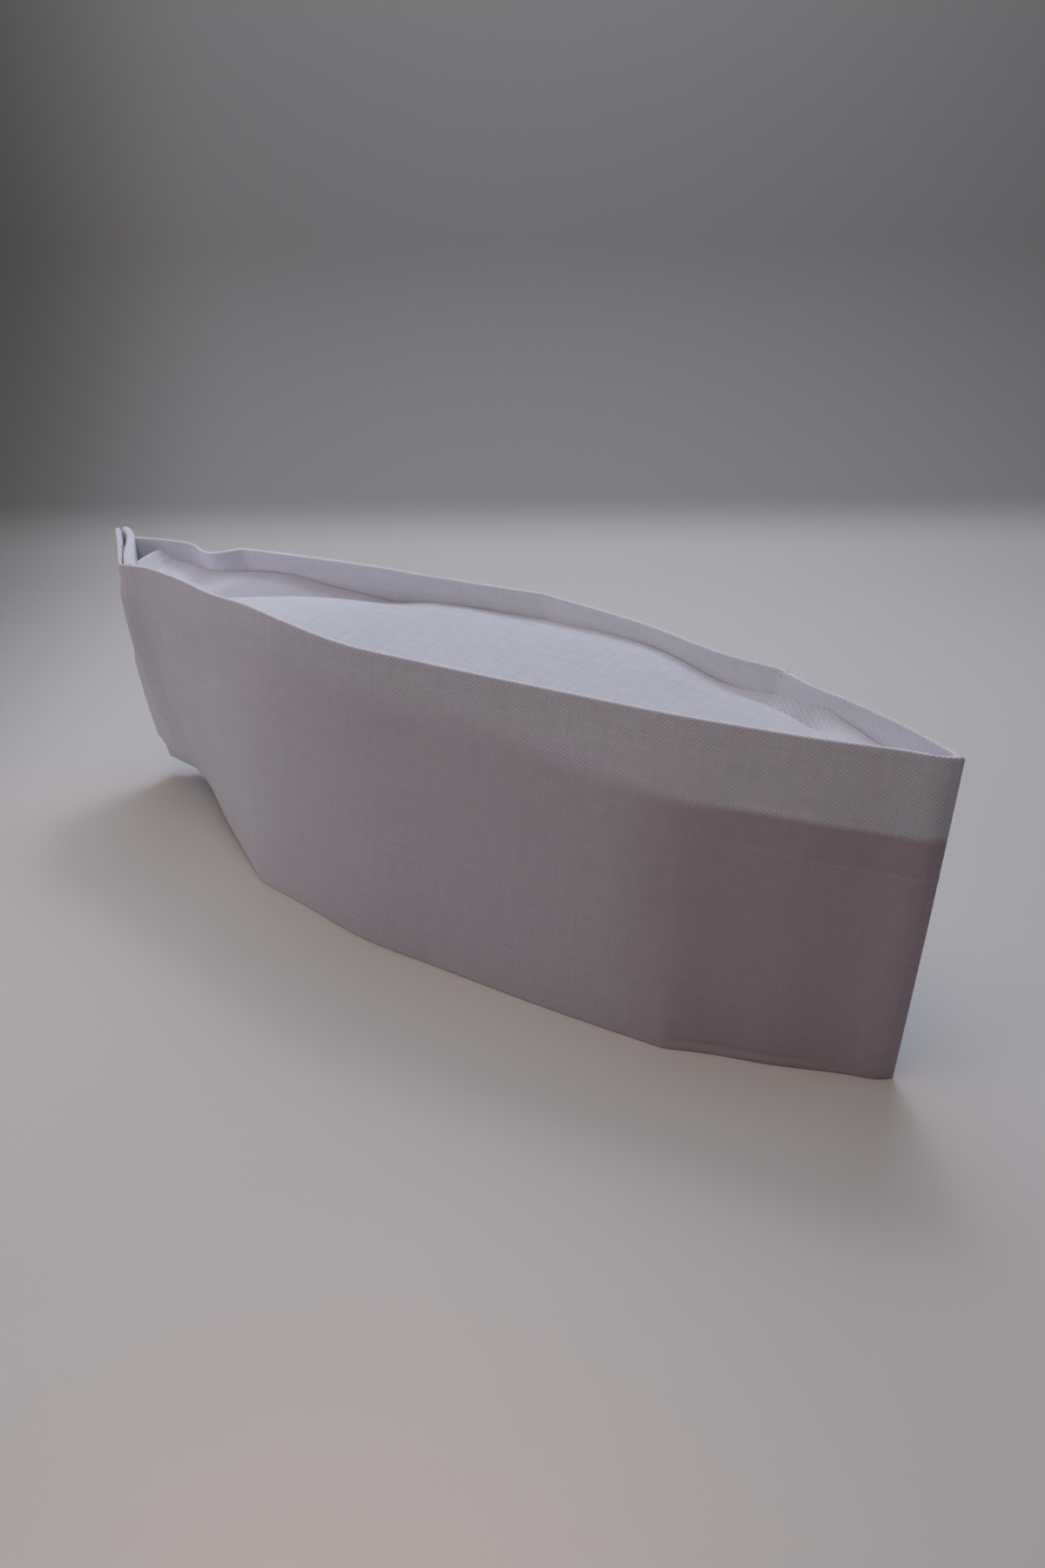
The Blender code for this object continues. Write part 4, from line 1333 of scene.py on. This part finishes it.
# Painted shade on the paper: greyer where it turns up, a little darker higher up, and darker towards the far
# left.
BACKDROP_PAINTED_SHADE = 0.53
BACKDROP_TURN = 0.018
BACKDROP_TOP_PAINTED_SHADE = 0.96
BACKDROP_FADE = 0.16
LEFT_SIDE_PAINTED_SHADE = 0.5
LEFT_SIDE_FADE = (-0.30, -0.14)
CAMERA_TURN = math.radians(34.6571)
SWEEP_FRONT = -1.4
SWEEP_START = 0.29
SWEEP_RADIUS = 0.14
SWEEP_HEIGHT = 1.1
SWEEP_HALF_WIDTH = 1.6


def make_sweep():
    """A strip of floor that turns up into a backdrop, square to the camera's direction."""
    bpy.ops.object.select_all(action="DESELECT")
    bpy.ops.mesh.primitive_plane_add(size=2.0)
    sweep = bpy.context.object
    sweep.name = "sweep"
    for vertex in sweep.data.vertices:
        vertex.co.x *= SWEEP_HALF_WIDTH
        vertex.co.y = SWEEP_START if vertex.co.y > 0 else SWEEP_FRONT
    for edge in sweep.data.edges:
        ends = [sweep.data.vertices[i].co.y for i in edge.vertices]
        edge.select = min(ends) > 0
    for vertex in sweep.data.vertices:
        vertex.select = vertex.co.y > 0
    for face in sweep.data.polygons:
        face.select = False
    bpy.ops.object.mode_set(mode="EDIT")
    bpy.ops.mesh.select_mode(type="EDGE")
    bpy.ops.mesh.spin(
        steps=24, angle=-math.pi / 2, center=(0, SWEEP_START, SWEEP_RADIUS), axis=(1, 0, 0)
    )
    bpy.ops.mesh.extrude_region_move(TRANSFORM_OT_translate={"value": (0, 0, SWEEP_HEIGHT)})
    bpy.ops.mesh.select_all(action="SELECT")
    bpy.ops.mesh.normals_make_consistent(inside=False)
    bpy.ops.object.mode_set(mode="OBJECT")
    sweep.rotation_euler = (0, 0, CAMERA_TURN)
    bpy.ops.object.shade_smooth()
    top = max(v.co.z for v in sweep.data.vertices)
    print("sweep height, m:", round(top, 2))
    return sweep


def paper(name, colour):
    """Matt paper that is pale on the floor, with painted shade where it stands up as the backdrop and towards
    the far left.
    """
    material = bpy.data.materials.new(name)
    material.use_nodes = True
    tree = material.node_tree
    shader = tree.nodes["Principled BSDF"]
    place = tree.nodes.new("ShaderNodeTexCoord")
    split = tree.nodes.new("ShaderNodeSeparateXYZ")
    tree.links.new(place.outputs["Object"], split.inputs[0])
    # Painted shade where the paper turns up, as it rises, and towards the far left.
    turn = map_range(tree, split.outputs["Z"], 0.0, BACKDROP_TURN, 1.0, BACKDROP_PAINTED_SHADE)
    rise = map_range(tree, split.outputs["Z"], 0.0, BACKDROP_FADE, 1.0, BACKDROP_TOP_PAINTED_SHADE)
    left = map_range(tree, split.outputs["X"], *LEFT_SIDE_FADE, LEFT_SIDE_PAINTED_SHADE, 1.0)
    shade = math_node(tree, "MULTIPLY", math_node(tree, "MULTIPLY", turn, rise), left)
    tree.links.new(mix_colour(tree, shade, (0.0, 0.0, 0.0), colour), shader.inputs["Base Color"])
    shader.inputs["Roughness"].default_value = 0.85
    shader.inputs["Specular IOR Level"].default_value = 0.2
    return material


sweep = make_sweep()
sweep.data.materials.append(paper("pale_paper", FLOOR_PALE))

# %% [markdown]
# All the light comes from soft square lamps. Cool ones over and behind the cap light the crown and throw
# the shadow forward, and a large warm one in front fills the near wall, which stays in shade. The last
# three are weak: one for the back end, one for the front fold, and a warm glow on the floor.

# %% The lights
Lamp = namedtuple("Lamp", "name place aim size spread power colour")

LAMPS = (
    Lamp("lamp_behind", (-0.08, 0.30, 0.55), (0.0, 0.0, 0.0), 0.30, 180, 0.42, (0.90, 0.85, 1.0)),
    Lamp("lamp_shadow", (-0.10, 0.30, 0.75), (0.0, 0.0, 0.0), 0.10, 180, 0.30, (0.95, 0.95, 1.0)),
    Lamp("lamp_over", (-0.05, 0.12, 0.60), (0.0, 0.0, 0.0), 0.40, 180, 0.98, (0.68, 0.86, 1.0)),
    Lamp("lamp_front", (0.05, -0.25, 0.90), (0.0, 0.0, 0.0), 0.50, 180, 1.66, (1.0, 0.79, 0.69)),
    Lamp("lamp_left", (-0.40, -0.45, 0.30), (0.0, 0.0, 0.05), 0.30, 180, 0.52, (1.0, 0.96, 0.96)),
    Lamp("lamp_edge", (0.42, 0.30, 0.14), (0.138, 0.0, 0.05), 0.15, 180, 0.08, (0.74, 0.85, 1.0)),
    Lamp("lamp_warm", (0.24, -0.36, 0.30), (0.13, -0.21, 0.0), 0.10, 30, 0.010, (1.0, 0.50, 0.25)),
)


def hang_lamp(lamp):
    """A square soft light that looks at its aim."""
    data = bpy.data.lights.new(lamp.name, "AREA")
    data.shape = "SQUARE"
    data.size = lamp.size
    data.spread = math.radians(lamp.spread)
    data.energy = lamp.power
    data.color = lamp.colour
    light = bpy.data.objects.new(lamp.name, data)
    bpy.context.scene.collection.objects.link(light)
    light.location = lamp.place
    direction = Vector(lamp.aim) - Vector(lamp.place)
    light.rotation_euler = direction.to_track_quat("-Z", "Y").to_euler()
    return light


for lamp in LAMPS:
    hang_lamp(lamp)

world = bpy.data.worlds.new("studio")
bpy.context.scene.world = world
world.use_nodes = True
world.node_tree.nodes["Background"].inputs["Strength"].default_value = 0.0
bpy.context.scene.view_settings.view_transform = "Standard"
print("lamps:", [lamp.name for lamp in LAMPS])

# %% [markdown]
# The camera stands close and a little above the cap, with a short lens, so the front end looks large.

# %% The camera
CAMERA_PLACE = (0.18946, -0.23967, 0.22261)
CAMERA_ANGLES = (59.3613, 0.4755, 34.6571)
CAMERA_LENS = 18.0
CAMERA_SENSOR = 23.5


def make_camera():
    data = bpy.data.cameras.new("camera")
    data.lens = CAMERA_LENS
    data.sensor_width = CAMERA_SENSOR
    data.clip_start = 0.01
    camera = bpy.data.objects.new("camera", data)
    bpy.context.scene.collection.objects.link(camera)
    camera.location = CAMERA_PLACE
    camera.rotation_euler = [math.radians(angle) for angle in CAMERA_ANGLES]
    bpy.context.scene.camera = camera
    return camera


print("camera:", [round(value, 3) for value in make_camera().location])
